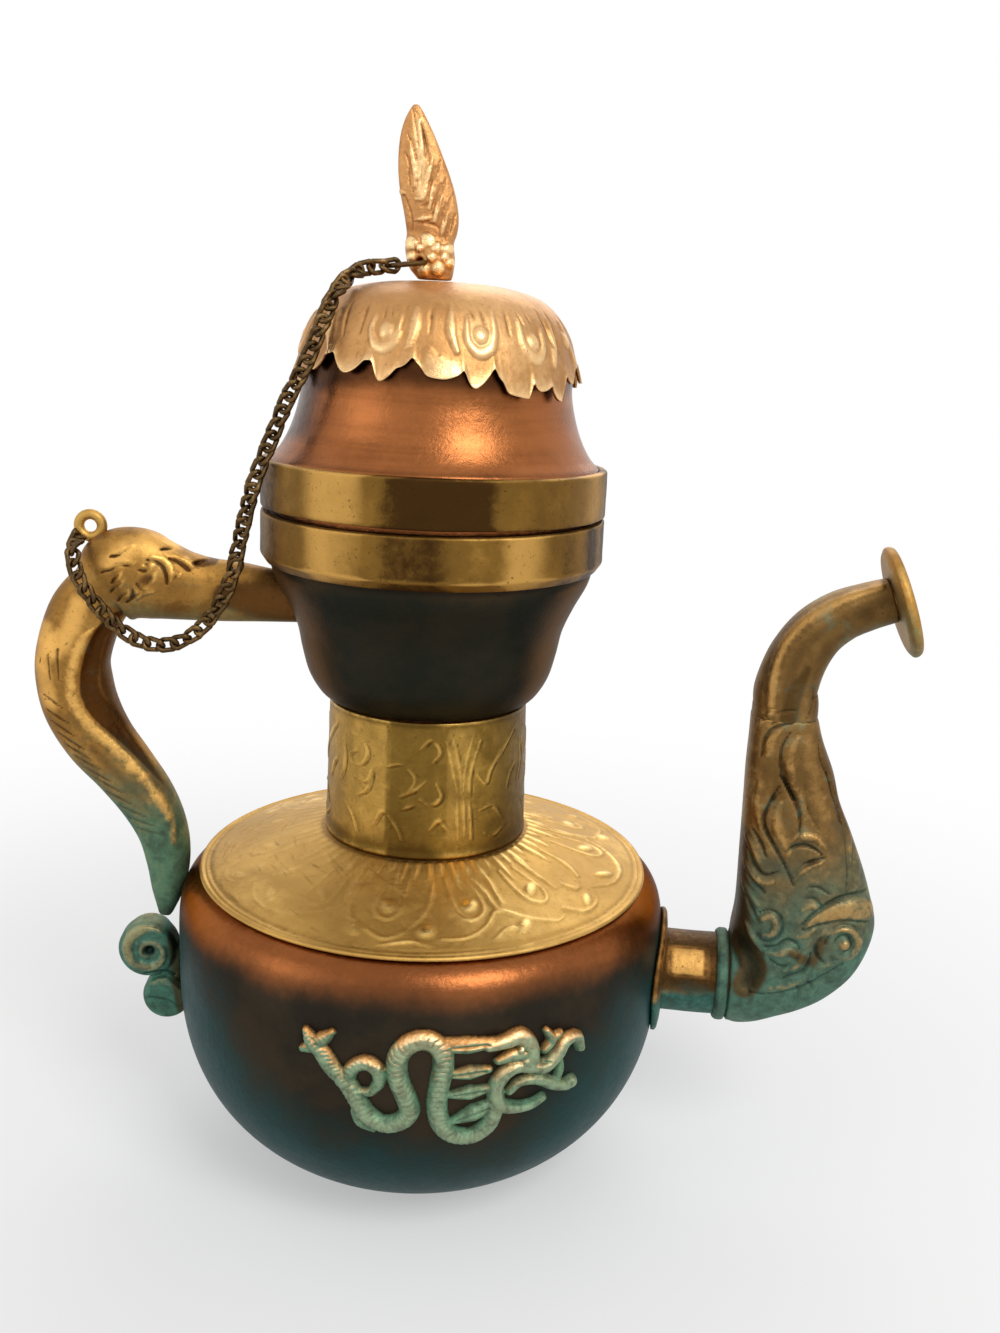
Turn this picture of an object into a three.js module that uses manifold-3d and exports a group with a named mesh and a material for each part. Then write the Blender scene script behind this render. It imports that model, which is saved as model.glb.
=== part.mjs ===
// Tibetan ewer: a copper vessel with brass mounts, a cast handle and spout, and a lid on a chain.
// Millimetres, +Z up. The origin is the centre of the flat base. The spout points to +X, the handle
// to -X, and the vessel's front, with its dragon, to -Y.
import * as THREE from 'three';
import { mergeVertices } from 'three/addons/utils/BufferGeometryUtils.js';
import Module from 'manifold-3d';

const wasm = await Module();
wasm.setup();

// Fits
const GAP = 0.3; // between two seated pieces
const SLEEVE_PLAY = 0.4; // lid sleeve in the cup
const CAP_GAP = 0.7; // the leaf cap over the dome, whose flats are others
const OVERRUN = 4; // how far a cutter runs past what it cuts

// Bowl
const BASE_RADIUS = 28;
const BASE_SHEET = 1.4;
const BELLY_RADIUS = 65.2;
const BELLY_HEIGHT = 53.5;
const BOWL_WALL = 1.4;
const BOWL_POWER = 2.36; // how square the curve is below the belly
const SHOULDER_POWER = 6.16; // and above it

// Shoulder plate
const PLATE_INSET = 5.9; // its edge inside the belly
const PLATE_EDGE_HEIGHT = 80.6;
const PLATE_RISE = 10.2;
const PLATE_SHEET = 0.8;
const PLATE_BEAD = 1.3;

// Neck
const NECK_FOOT_RADIUS = 26.7;
const NECK_TOP_RADIUS = 25.8;
const NECK_LENGTH = 36.0;
const COLLAR_SHEET = 1.0;
const NECK_WALL = 1.2;
const NECK_TUBE_BITE = 3; // how far the inner tube stands into the bowl and the cup

// Mouth cup
const CUP_HEIGHT = 48.1;
const CUP_WALL = 1.4;
const RIM_RADIUS = 43.5;
const RIM_BAND_SHEET = 2.1;
const CUP_BAND_HEIGHT = 12.6;
const LID_BAND_HEIGHT = 11.6;

// Lid
const LID_RISE = 53.4; // seat to the top of the copper dome
const LID_TIP = THREE.MathUtils.degToRad(0.8); // the lid rides up at its front left
const LID_TIP_AZIMUTH = THREE.MathUtils.degToRad(65); // and rests on its rim here
const SLEEVE_LENGTH = 15;
const SLEEVE_BITE = 7;
const SLEEVE_WALL = 1.0;
const LEAF_SHEET = 0.8;
const LEAF_COUNT = 13;
const LEAF_DROP = 5.4;
const LEAF_SKEW = 2.0; // the skirt hangs lower on the spout side

// Finial
const FINIAL_HEIGHT = 40.4;
const FINIAL_OFFSET = -1.6; // its tenon from the vessel's axis
const FINIAL_WIDTH = 16.4;
const FINIAL_DEPTH = 7.4;
const FINIAL_LEAN = 5.2; // the tip's drift towards the handle
const TENON_RADIUS = 2;
const TENON_LENGTH = 5.2;
const WASHER_RADIUS = 5;
const WASHER_SHEET = 1.2;
const RING_RADIUS = 4.6;
const RING_HOLE_OUT_SHARE = 0.17; // of the finial's width, from its middle
const RING_HOLE_UP_SHARE = 0.105; // of its height
const RING_TILT = THREE.MathUtils.degToRad(9);
const RING_SWING = THREE.MathUtils.degToRad(30);
const WIRE = 1.15;

// Chain
const LINK_PITCH = 5.2;
const LINK_LENGTH = 6.9; // along the wire's centre line
const LINK_WIDTH = 3.6;
const END_LINK_LENGTH = 8.5;
const END_LINK_WIDTH = 4.2;
const CHAIN_TURN_LINKS = 5; // links over which the chain turns at either end

// Handle
const HANDLE_STANDOFF = 36.6; // outermost point of the grip from the belly
const HANDLE_TAIL_HEIGHT = 62;
const ARM_RISE = 24.4; // the arm's middle above the cup's foot
const GRIP_HALF_WIDTH = 9.8;
const GRIP_HALF_DEPTH = 7.6;
const ARM_HALF_HEIGHT = 12.3;
const ARM_HALF_DEPTH = 8.6;
const ARM_REACH_SHARE = 0.7; // of the grip's stand-off
const EYE_RADIUS = 3.2;
const EYE_WIRE = 1.0;
const EYE_RISE = 17.2; // above the arm's middle
const EYE_STANDOFF = 20.9;
const EYE_HOOK_ANGLE = THREE.MathUtils.degToRad(215); // where the chain hangs on the eye
const EYE_HOOK_RISE = THREE.MathUtils.degToRad(20); // the last link's slope up into the eye

// Scroll bracket
const CURL_RADIUS = 8;
const CURL_HEIGHT = 53.2;
const CURL_STANDOFF = 9.4;
const LOBE_RADIUS = 6.6;
const LOBE_HEIGHT = 39.4;
const LOBE_STANDOFF = 5.6;
const BRACKET_DEPTH = 9;
const WEB_DEPTH_SHARE = 0.7; // the web between its curls, of that depth
const CURL_EYE_RADIUS = 1.6;

// Rivets
const RIVET_RADIUS = 1.4;
const RIVET_HEAD_RADIUS = 2.6;
const RIVET_HEAD = 1.2;
const RIVET_BITE = 5;
const ARM_RIVET_SPACING = 7;

// Spout
const SPOUT_HEIGHT = 54.0;
const SPOUT_TURN = THREE.MathUtils.degToRad(-9); // the spout is set a little towards the front
const TUBE_RADIUS = 10.9;
const TUBE_WALL = 1.6;
const TUBE_LENGTH = 18.3; // belly to the face of the cast head
const SOCKET_DEPTH = 6;
const FLANGE_RADIUS = 16.5;
const FLANGE_SHEET = 1.6;
const SPOUT_COLLAR_RADIUS = 12.3;
const SPOUT_COLLAR_LENGTH = 3;
const JAW_RADIUS = 12.3;
const JAW_LENGTH = 7;
const HEAD_HEIGHT = 85.5;
const HEAD_DROP = 11.4;
const HEAD_WIDTH = 36.5;
const HEAD_HALF_DEPTH = 13.2;
const SHEATH_SHARE = 0.24; // where the upper tube stands in the head, of its width
const CAVITY_REACH_SHARE = 0.28; // how far the hollow in the head bends out, of its width
const SPOUT_REACH = 50.6; // belly to the spout's mouth
const NECK_RISE = 31.0; // the spout's upper tube above the cast head
const SPIGOT_LENGTH = 10;
const SPIGOT_WALL = 1.8; // the cast wall round the upper tube's foot
const SPOUT_NECK_HALF_WIDTH = 8.4;
const SPOUT_NECK_HALF_DEPTH = 7.2;
const SPOUT_WALL = 1.6;
const LIP_RADIUS = 14.3;
const LIP_THICKNESS = 3.4;
const LIP_DROP = 1.2; // the lip's centre hangs below its bore

// Dragon
const DRAGON_LENGTH = 68.8;
const DRAGON_HEIGHT = 28.7;
const DRAGON_FOOT_HEIGHT = 36.9;
const DRAGON_START = THREE.MathUtils.degToRad(-24.7); // azimuth of its tail from the front
const DRAGON_BODY_RADIUS = 2.1;
const DRAGON_LIMB_RADIUS = 1.5;
const DRAGON_PROUD = 0.9;

// How finely round things are divided
const LATHE_STEPS = 32;
const BOWL_LOWER_STEPS = 7;
const BOWL_UPPER_STEPS = 4;
const BORE_STEPS = 16;
const LEAF_STEPS = 2;
const OVAL_SIDES = 12;
const CAST_SIDES = 14;
const WIRE_SIDES = 5;
const LINK_STEPS = 8;
const EYE_SIDES = 8;
const RIVET_STEPS = 12;
const ARM_STEPS = 11;
const GRIP_STEPS = 17;
const NECK_STEPS = 10;
const CAVITY_STEPS = 8;
const DRAGON_SIDES = 6;
const CAST_POWER = 2.3; // how square a cast arm's section is
const HEAD_POWER = 3;

// Finishes
const COPPER = { color: 0x9a5c2e, roughness: 0.38, metalness: 1 };
const DARK_COPPER = { color: 0x2e2920, roughness: 0.42, metalness: 0.8 };
const SHEET_BRASS = { color: 0xb08a3c, roughness: 0.36, metalness: 1 };
const PALE_BRASS = { color: 0xd8ac68, roughness: 0.34, metalness: 1 };
const CAST_BRASS = { color: 0xa87c38, roughness: 0.44, metalness: 1 };
const BRONZE = { color: 0x5a4629, roughness: 0.42, metalness: 1 };

const ewer = new THREE.Group();

// Adds one named piece, in its own finish
function piece(name, geometry, finish, parent = ewer) {
  const mesh = new THREE.Mesh(welded(geometry), new THREE.MeshStandardMaterial(finish));
  mesh.name = name;
  parent.add(mesh);
  return mesh;
}

// A closed mesh with shared corners, no collapsed triangles and its faces pointing out
function welded(geometry) {
  const bare = new THREE.BufferGeometry();
  bare.setAttribute('position', geometry.getAttribute('position').clone());
  if (geometry.index) bare.setIndex(geometry.index.clone());
  const merged = mergeVertices(bare);
  const index = merged.index.array;
  const kept = [];
  for (let i = 0; i < index.length; i += 3) {
    const [a, b, c] = [index[i], index[i + 1], index[i + 2]];
    if (a !== b && b !== c && c !== a) kept.push(a, b, c);
  }
  if (signedVolume(merged, kept) < 0) kept.reverse();
  merged.setIndex(kept);
  return merged;
}

function signedVolume(geometry, index) {
  const position = geometry.getAttribute('position');
  const [a, b, c] = [new THREE.Vector3(), new THREE.Vector3(), new THREE.Vector3()];
  let volume = 0;
  for (let i = 0; i < index.length; i += 3) {
    a.fromBufferAttribute(position, index[i]);
    b.fromBufferAttribute(position, index[i + 1]);
    c.fromBufferAttribute(position, index[i + 2]);
    volume += a.dot(b.cross(c));
  }
  return volume;
}

// Booleans
function solid(geometry) {
  const closed = welded(geometry);
  const vertProperties = new Float32Array(closed.getAttribute('position').array);
  const triVerts = new Uint32Array(closed.index.array);
  return new wasm.Manifold(new wasm.Mesh({ numProp: 3, vertProperties, triVerts }));
}

function geometryOf(manifold) {
  const mesh = manifold.getMesh();
  const geometry = new THREE.BufferGeometry();
  geometry.setAttribute('position', new THREE.BufferAttribute(mesh.vertProperties, mesh.numProp));
  geometry.setIndex(new THREE.BufferAttribute(mesh.triVerts, 1));
  return geometry;
}

function joined(...geometries) {
  return geometryOf(geometries.map(solid).reduce((whole, next) => whole.add(next)));
}

function cut(geometry, ...cutters) {
  return geometryOf(cutters.reduce((left, next) => left.subtract(solid(next)), solid(geometry)));
}

function common(geometry, other) {
  return geometryOf(solid(geometry).intersect(solid(other)));
}

// Turned shapes. A profile is a list of [radius, height]
function turned(profile, steps = LATHE_STEPS) {
  const points = profile.map(([radius, height]) => new THREE.Vector2(radius, height));
  return new THREE.LatheGeometry(points, steps).rotateX(Math.PI / 2);
}

function ring(inner, outer, bottom, top, steps = LATHE_STEPS) {
  const profile = [[inner, bottom], [outer, bottom], [outer, top], [inner, top], [inner, bottom]];
  return turned(profile, steps);
}

function rod(radius, bottom, top, steps = BORE_STEPS) {
  return turned([[0, bottom], [radius, bottom], [radius, top], [0, top]], steps);
}

// The same profile, moved square to itself: inwards of an outline that runs from foot to top
function inset(profile, distance) {
  return profile.map((point, i) => {
    const before = profile[Math.max(i - 1, 0)];
    const after = profile[Math.min(i + 1, profile.length - 1)];
    const first = unit(before, i > 0 ? point : after);
    const second = unit(i < profile.length - 1 ? point : before, after);
    const normal = [-first[1] - second[1], first[0] + second[0]];
    const size = Math.hypot(normal[0], normal[1]);
    const miter = distance / (size / 2);
    return [point[0] + (normal[0] / size) * miter, point[1] + (normal[1] / size) * miter];
  });
}

function unit(from, to) {
  const length = Math.hypot(to[0] - from[0], to[1] - from[1]);
  return [(to[0] - from[0]) / length, (to[1] - from[1]) / length];
}

// A sheet of even wall inside an outline
function shell(outline, wall) {
  return [...outline, ...inset(outline, wall).reverse(), outline[0]];
}

// A full body inside an outline, grown by a distance
function filled(outline, grow) {
  const grown = inset(outline, -grow);
  return [[0, grown[0][1]], ...grown, [0, grown[grown.length - 1][1]]];
}

// The radius of an outline at a height
function radiusAt(outline, height) {
  for (let i = 1; i < outline.length; i += 1) {
    const [[r0, z0], [r1, z1]] = [outline[i - 1], outline[i]];
    if (z0 <= height && height <= z1 && z1 > z0) return r0 + ((r1 - r0) * (height - z0)) / (z1 - z0);
  }
  return outline[outline.length - 1][0];
}

// Moves every corner of a geometry by a rule
function reshaped(geometry, rule) {
  const position = geometry.getAttribute('position');
  const point = new THREE.Vector3();
  for (let i = 0; i < position.count; i += 1) {
    point.fromBufferAttribute(position, i);
    rule(point);
    position.setXYZ(i, point.x, point.y, point.z);
  }
  return geometry;
}

// Closed rings of points, one after another, with both ends filled
function stacked(rings) {
  const sides = rings[0].length;
  const corners = rings.flat();
  const faces = [];
  for (let i = 0; i + 1 < rings.length; i += 1) {
    for (let j = 0; j < sides; j += 1) {
      const [a, b] = [i * sides + j, i * sides + ((j + 1) % sides)];
      faces.push(a, b, a + sides, b, b + sides, a + sides);
    }
  }
  for (const [end, start] of [[rings[0], 0], [rings[rings.length - 1], (rings.length - 1) * sides]]) {
    const centre = end.reduce((sum, point) => sum.add(point), new THREE.Vector3());
    corners.push(centre.divideScalar(sides));
    for (let j = 0; j < sides; j += 1) {
      const pair = [start + j, start + ((j + 1) % sides)];
      if (start === 0) pair.reverse();
      faces.push(pair[0], pair[1], corners.length - 1);
    }
  }
  const geometry = new THREE.BufferGeometry().setFromPoints(corners);
  return geometry.setIndex(faces);
}

// One oval ring: half width along `across`, half depth along Y, squarer for a higher power
function oval(centre, across, halfWidth, halfDepth, sides, power = 2) {
  const points = [];
  for (let j = 0; j < sides; j += 1) {
    const angle = ((j + 0.5) / sides) * 2 * Math.PI;
    const [c, s] = [Math.cos(angle), Math.sin(angle)];
    const w = halfWidth * Math.sign(c) * Math.abs(c) ** (2 / power);
    const d = halfDepth * Math.sign(s) * Math.abs(s) ** (2 / power);
    points.push(centre.clone().addScaledVector(across, w).add(new THREE.Vector3(0, d, 0)));
  }
  return points;
}

// A cast arm along a route in the plane y = 0. A station is [x, z, half width, half depth]
function castAlong(stations, steps, sides, power = 2) {
  const route = new THREE.CatmullRomCurve3(stations.map(([x, z]) => new THREE.Vector3(x, 0, z)));
  const sizes = new THREE.CatmullRomCurve3(stations.map(([, , w, d]) => new THREE.Vector3(w, d, 0)));
  for (const curve of [route, sizes]) curve.curveType = 'catmullrom';
  const rings = [];
  for (let i = 0; i <= steps; i += 1) {
    const tangent = route.getTangent(i / steps);
    const across = new THREE.Vector3(-tangent.z, 0, tangent.x);
    const size = sizes.getPoint(i / steps);
    rings.push(oval(route.getPoint(i / steps), across, size.x, size.y, sides, power));
  }
  return stacked(rings);
}

// A cast block of level slices. A slice is [z, lowest x, highest x, half depth]
function castInSlices(slices, sides, power) {
  const across = new THREE.Vector3(1, 0, 0);
  return stacked(slices.map(([z, low, high, depth]) => {
    const centre = new THREE.Vector3((low + high) / 2, 0, z);
    return oval(centre, across, (high - low) / 2, depth, sides, power);
  }));
}

// Turned pieces laid along X
const alongX = (geometry) => geometry.rotateY(Math.PI / 2);

// The bowl's outline, from its foot to the plate's edge and up under the plate to the neck
const curveFall = (share, power) => (1 - share ** power) ** (1 / power);
const plateRadius = BELLY_RADIUS - PLATE_INSET;
const bowlDepth = BELLY_HEIGHT / curveFall(BASE_RADIUS / BELLY_RADIUS, BOWL_POWER);
const copperEdgeHeight = PLATE_EDGE_HEIGHT - PLATE_SHEET - GAP;
const shoulderRise = (copperEdgeHeight - BELLY_HEIGHT)
  / curveFall(plateRadius / BELLY_RADIUS, SHOULDER_POWER);
const plateSlope = PLATE_RISE / (plateRadius - NECK_FOOT_RADIUS);
const neckTubeRadius = NECK_TOP_RADIUS - COLLAR_SHEET - GAP;
const neckHoleRadius = neckTubeRadius + GAP;
const copperHeightAt = (radius) => copperEdgeHeight + plateSlope * (plateRadius - radius);
const plateTopAt = (radius) => PLATE_EDGE_HEIGHT + plateSlope * (plateRadius - radius);

function bowlOutline() {
  const outline = [];
  const footShare = (BELLY_HEIGHT - BASE_SHEET - GAP) / bowlDepth;
  const footAngle = Math.acos(footShare ** (BOWL_POWER / 2));
  for (let i = 0; i < BOWL_LOWER_STEPS; i += 1) {
    const angle = footAngle + ((Math.PI / 2 - footAngle) * i) / BOWL_LOWER_STEPS;
    const radius = BELLY_RADIUS * Math.sin(angle) ** (2 / BOWL_POWER);
    outline.push([radius, BELLY_HEIGHT - bowlDepth * Math.cos(angle) ** (2 / BOWL_POWER)]);
  }
  const edgeAngle = Math.acos((plateRadius / BELLY_RADIUS) ** (SHOULDER_POWER / 2));
  for (let i = 0; i <= BOWL_UPPER_STEPS; i += 1) {
    const angle = (edgeAngle * i) / BOWL_UPPER_STEPS;
    const radius = BELLY_RADIUS * Math.cos(angle) ** (2 / SHOULDER_POWER);
    outline.push([radius, BELLY_HEIGHT + shoulderRise * Math.sin(angle) ** (2 / SHOULDER_POWER)]);
  }
  outline.push([neckTubeRadius - NECK_WALL, copperHeightAt(neckTubeRadius - NECK_WALL)]);
  return outline;
}

const bowl = bowlOutline();
const bellyAt = (height) => radiusAt(bowl, height);
const bowlBlock = (grow) => turned(filled(bowl, grow));

// The cup's outline, from the hole for the neck to its rim. Shares are of its height and spread
const neckFootHeight = plateTopAt(NECK_FOOT_RADIUS) + GAP;
const cupFootHeight = neckFootHeight + NECK_LENGTH;
const cupRimHeight = cupFootHeight + CUP_HEIGHT;
const armHeight = cupFootHeight + ARM_RISE;
const cupRimRadius = RIM_RADIUS - RIM_BAND_SHEET - GAP;
const cupShares = [
  [0.085, 0.005], [0.24, 0.05], [0.40, 0.145], [0.50, 0.27], [0.58, 0.40], [0.74, 0.53], [0.93, 0.655],
];

function cupOutline() {
  const spread = cupRimRadius - neckHoleRadius;
  const outline = [[neckTubeRadius - NECK_WALL, cupFootHeight]];
  for (const [out, up] of cupShares) {
    outline.push([neckHoleRadius + out * spread, cupFootHeight + up * CUP_HEIGHT]);
  }
  outline.push([cupRimRadius, cupRimHeight - CUP_BAND_HEIGHT], [cupRimRadius, cupRimHeight]);
  return outline;
}

const cup = cupOutline();
const cupAt = (height) => radiusAt(cup, height);
const cupBlock = (grow) => turned(filled(cup, grow));

// The lid's outline, from its seat to the top of its dome
const lidSeatHeight = cupRimHeight + GAP;
const lidTopHeight = lidSeatHeight + LID_RISE;
const flareShares = [[0.935, 0.275], [0.88, 0.356], [0.84, 0.448], [0.815, 0.54]];
const domeShares = [
  [0.81, 0.615], [0.79, 0.70], [0.747, 0.80], [0.68, 0.883], [0.575, 0.947], [0.40, 0.985],
  [0.2, 1], [0, 1],
];
const lidPoint = ([out, up]) => [cupRimRadius * out, lidSeatHeight + LID_RISE * up];
const dome = domeShares.map(lidPoint);

function lidOutline() {
  const bandTop = lidSeatHeight + LID_BAND_HEIGHT;
  return [
    [cupRimRadius, lidSeatHeight], [cupRimRadius, bandTop], ...flareShares.map(lidPoint), ...dome,
  ];
}

// Vessel
const neckHole = (height) => rod(neckHoleRadius, height - OVERRUN, height + OVERRUN, LATHE_STEPS);

function bodyShell() {
  const spoutHole = alongX(rod(TUBE_RADIUS + GAP, BELLY_RADIUS / 2, BELLY_RADIUS + OVERRUN));
  spoutHole.translate(0, 0, SPOUT_HEIGHT).rotateZ(SPOUT_TURN);
  return cut(
    turned(shell(bowl, BOWL_WALL)), neckHole(copperHeightAt(neckHoleRadius)), spoutHole,
    rivetShaft(bellyAt, bracketRivetHeight, GAP));
}

function baseDisc() {
  return rod(bowl[0][0] + BASE_SHEET / 2, 0, BASE_SHEET, LATHE_STEPS);
}

function shoulderPlate() {
  const edgeUnder = PLATE_EDGE_HEIGHT - PLATE_SHEET;
  const beadInside = plateRadius - PLATE_BEAD;
  const profile = [
    [neckHoleRadius, plateTopAt(neckHoleRadius) - PLATE_SHEET],
    [plateRadius, edgeUnder],
    [plateRadius + PLATE_BEAD / 4, edgeUnder + PLATE_BEAD / 2],
    [plateRadius - PLATE_BEAD / 4, edgeUnder + PLATE_BEAD],
    [beadInside, plateTopAt(beadInside)],
    [neckHoleRadius, plateTopAt(neckHoleRadius)],
  ];
  return turned([...profile, profile[0]]);
}

function neckTube() {
  const bottom = copperHeightAt(neckHoleRadius) - BOWL_WALL - NECK_TUBE_BITE;
  const top = cupFootHeight + CUP_WALL + NECK_TUBE_BITE;
  return ring(neckTubeRadius - NECK_WALL, neckTubeRadius, bottom, top);
}

function neckCollar() {
  const top = cupFootHeight - GAP;
  const bottom = plateTopAt(neckHoleRadius) + GAP;
  return turned([
    [neckHoleRadius, bottom], [NECK_FOOT_RADIUS, neckFootHeight], [NECK_TOP_RADIUS, top],
    [neckHoleRadius, top], [neckHoleRadius, bottom],
  ]);
}

function mouthCup() {
  const rivetHoles = armRivetHeights.map((z) => rivetShaft(cupAt, z, GAP));
  return cut(turned(shell(cup, CUP_WALL)), neckHole(cupFootHeight), ...rivetHoles);
}

function rimBand(bottom, top, chamfered) {
  const inner = cupRimRadius + GAP;
  const foot = chamfered
    ? [[inner, bottom], [inner + RIM_BAND_SHEET / 2, bottom], [RIM_RADIUS, bottom + RIM_BAND_SHEET]]
    : [[inner, bottom], [RIM_RADIUS, bottom]];
  return turned([
    ...foot, [RIM_RADIUS, top - RIM_BAND_SHEET / 4], [RIM_RADIUS - RIM_BAND_SHEET / 4, top],
    [inner, top], [inner, bottom],
  ]);
}

// Lid. It tips about the point of its rim that rests on the cup
const lid = new THREE.Group();
const lidRest = new THREE.Vector3(
  RIM_RADIUS * Math.cos(LID_TIP_AZIMUTH), RIM_RADIUS * Math.sin(LID_TIP_AZIMUTH), lidSeatHeight);
const lidTipAxis = new THREE.Vector3(-Math.sin(LID_TIP_AZIMUTH), Math.cos(LID_TIP_AZIMUTH), 0);
lid.setRotationFromAxisAngle(lidTipAxis, LID_TIP);
lid.position.copy(lidRest).sub(lidRest.clone().applyAxisAngle(lidTipAxis, LID_TIP));
ewer.add(lid);
lid.updateMatrixWorld();

function tenonHole() {
  return rod(TENON_RADIUS + GAP, lidTopHeight - TENON_LENGTH, lidTopHeight + TENON_LENGTH)
    .translate(FINIAL_OFFSET, 0, 0);
}

function lidShell() {
  return cut(turned(shell(lidOutline(), CUP_WALL)), tenonHole());
}

function lidSleeve() {
  const outer = cupRimRadius - CUP_WALL - SLEEVE_PLAY;
  const bottom = lidSeatHeight - SLEEVE_BITE;
  return ring(outer - SLEEVE_WALL, outer, bottom, bottom + SLEEVE_LENGTH);
}

// The cap follows the dome, and its skirt ends in pointed leaves
function leafCap() {
  const under = inset(dome, -CAP_GAP);
  const outside = inset(dome, -CAP_GAP - LEAF_SHEET);
  const cap = turned([...under, ...outside.reverse(), under[0]], LEAF_COUNT * LEAF_STEPS);
  const skirtFoot = dome[0][1];
  const skirtTop = dome[3][1];
  const lidAt = (height) => radiusAt(lidOutline(), height);
  reshaped(cap, (point) => {
    if (point.z > skirtTop) return;
    const azimuth = Math.atan2(point.y, point.x);
    const turnsOfLeaf = (azimuth / (2 * Math.PI)) * LEAF_COUNT;
    const fromTip = 2 * Math.abs(turnsOfLeaf - Math.round(turnsOfLeaf));
    const foot = skirtFoot + LEAF_DROP * fromTip - LEAF_SKEW * Math.cos(azimuth);
    const height = THREE.MathUtils.mapLinear(point.z, skirtTop, skirtFoot, skirtTop, foot);
    const radius = Math.hypot(point.x, point.y) + lidAt(height) - lidAt(point.z);
    point.set(radius * Math.cos(azimuth), radius * Math.sin(azimuth), height);
  });
  return cut(cap, tenonHole());
}

// Finial: foot, knob and feathered leaf, with a tenon through the cap and the lid.
// Shares of its height, lean, width and depth
const finialShares = [
  [0, 0, 0.62, 0.80], [0.035, 0, 0.60, 0.78], [0.075, -0.02, 0.78, 0.90], [0.14, -0.12, 0.86, 1],
  [0.20, -0.12, 0.84, 0.98], [0.24, -0.10, 0.78, 0.80], [0.30, -0.12, 0.94, 0.66],
  [0.42, -0.28, 1, 0.62], [0.56, -0.48, 0.96, 0.58], [0.70, -0.66, 0.76, 0.50],
  [0.84, -0.82, 0.46, 0.36], [0.95, -0.95, 0.18, 0.20], [1, -1, 0.05, 0.08],
];
const finialFootHeight = lidTopHeight + CAP_GAP + LEAF_SHEET + GAP;
const washerTopHeight = lidTopHeight - CUP_WALL - GAP;
const ringHole = new THREE.Vector3(
  FINIAL_OFFSET - FINIAL_WIDTH * RING_HOLE_OUT_SHARE, 0,
  finialFootHeight + FINIAL_HEIGHT * RING_HOLE_UP_SHARE);

// The ring hangs through the knob's hole, and its far side points to the handle and the front
const ringDrop = new THREE.Vector3(-Math.cos(RING_TILT), 0, -Math.sin(RING_TILT))
  .applyAxisAngle(new THREE.Vector3(0, 0, 1), RING_SWING);
const ringFarSide = ringHole.clone().addScaledVector(ringDrop, 2 * RING_RADIUS);

function ringShape(wireRadius) {
  const centre = ringHole.clone().addScaledVector(ringDrop, RING_RADIUS);
  return new THREE.TorusGeometry(RING_RADIUS, wireRadius, WIRE_SIDES, BORE_STEPS)
    .rotateY(-RING_TILT).rotateZ(RING_SWING).translate(centre.x, centre.y, centre.z);
}

function finialShape() {
  const slices = finialShares.map(([up, lean, width, depth]) => {
    const centre = FINIAL_OFFSET + lean * FINIAL_LEAN;
    const half = (width * FINIAL_WIDTH) / 2;
    const z = finialFootHeight + up * FINIAL_HEIGHT;
    return [z, centre - half, centre + half, (depth * FINIAL_DEPTH) / 2];
  });
  const tenonFoot = washerTopHeight - WASHER_SHEET - GAP;
  const tenon = rod(TENON_RADIUS, tenonFoot, finialFootHeight + GAP).translate(FINIAL_OFFSET, 0, 0);
  return cut(joined(castInSlices(slices, OVAL_SIDES, 2), tenon), ringShape(WIRE / 2 + GAP));
}

function finialWasher() {
  const bottom = washerTopHeight - WASHER_SHEET;
  return ring(TENON_RADIUS + GAP, WASHER_RADIUS, bottom, washerTopHeight, BORE_STEPS)
    .translate(FINIAL_OFFSET, 0, 0);
}

// Chain. Its route runs through the middles of its links: from the finial's ring, down beside the
// lid and in front of the handle's arm, to the eye on top of the handle
const eye = new THREE.Vector3(-BELLY_RADIUS - EYE_STANDOFF, 0, armHeight + EYE_RISE);
const eyeOutwards = new THREE.Vector3(Math.cos(EYE_HOOK_ANGLE), 0, Math.sin(EYE_HOOK_ANGLE));
const chainRoute = [
  [-21.6, -12.6, 230.6], [-24.3, -18.6, 226.3], [-27.0, -22.8, 219.0],
  [-30.3, -22.9, 211.0], [-34.4, -20.8, 203.4], [-37.6, -19.6, 195.8], [-39.6, -19.8, 190.8],
  [-41.5, -20.6, 186.0], [-43.2, -19.2, 181.2], [-44.7, -16.9, 176.2], [-46.2, -14.6, 171.0],
  [-47.5, -13.2, 165.8], [-48.7, -12.5, 160.7], [-50.4, -12.2, 155.7], [-53.0, -12.2, 150.8],
  [-56.6, -12.2, 146.2], [-61.4, -12.2, 142.6], [-67.1, -12.2, 141.2], [-72.8, -12.2, 142.5],
  [-77.5, -12.5, 145.9], [-81.2, -12.8, 150.0], [-84.4, -13.0, 154.4], [-87.0, -11.9, 159.0],
].map(([x, y, z]) => new THREE.Vector3(x, y, z));

const chainStart = ringDrop.clone().transformDirection(lid.matrixWorld);

function chainPath() {
  const hook = eye.clone().addScaledVector(eyeOutwards, EYE_RADIUS);
  const intoEye = new THREE.Vector3(0, Math.cos(EYE_HOOK_RISE), Math.sin(EYE_HOOK_RISE));
  const pastHook = EYE_WIRE + GAP + WIRE / 2;
  const lastMiddle = hook.clone().addScaledVector(intoEye, pastHook - END_LINK_LENGTH / 2);
  const beforeLast = lastMiddle.clone().addScaledVector(intoEye, -LINK_PITCH);
  const firstMiddle = lid.localToWorld(ringFarSide.clone())
    .addScaledVector(chainStart, LINK_LENGTH / 2 - WIRE - GAP);
  const afterFirst = firstMiddle.clone().addScaledVector(chainStart, LINK_PITCH);
  const run = [firstMiddle, afterFirst, ...chainRoute, beforeLast, lastMiddle];
  return new THREE.CatmullRomCurve3(run, false, 'centripetal');
}

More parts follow.
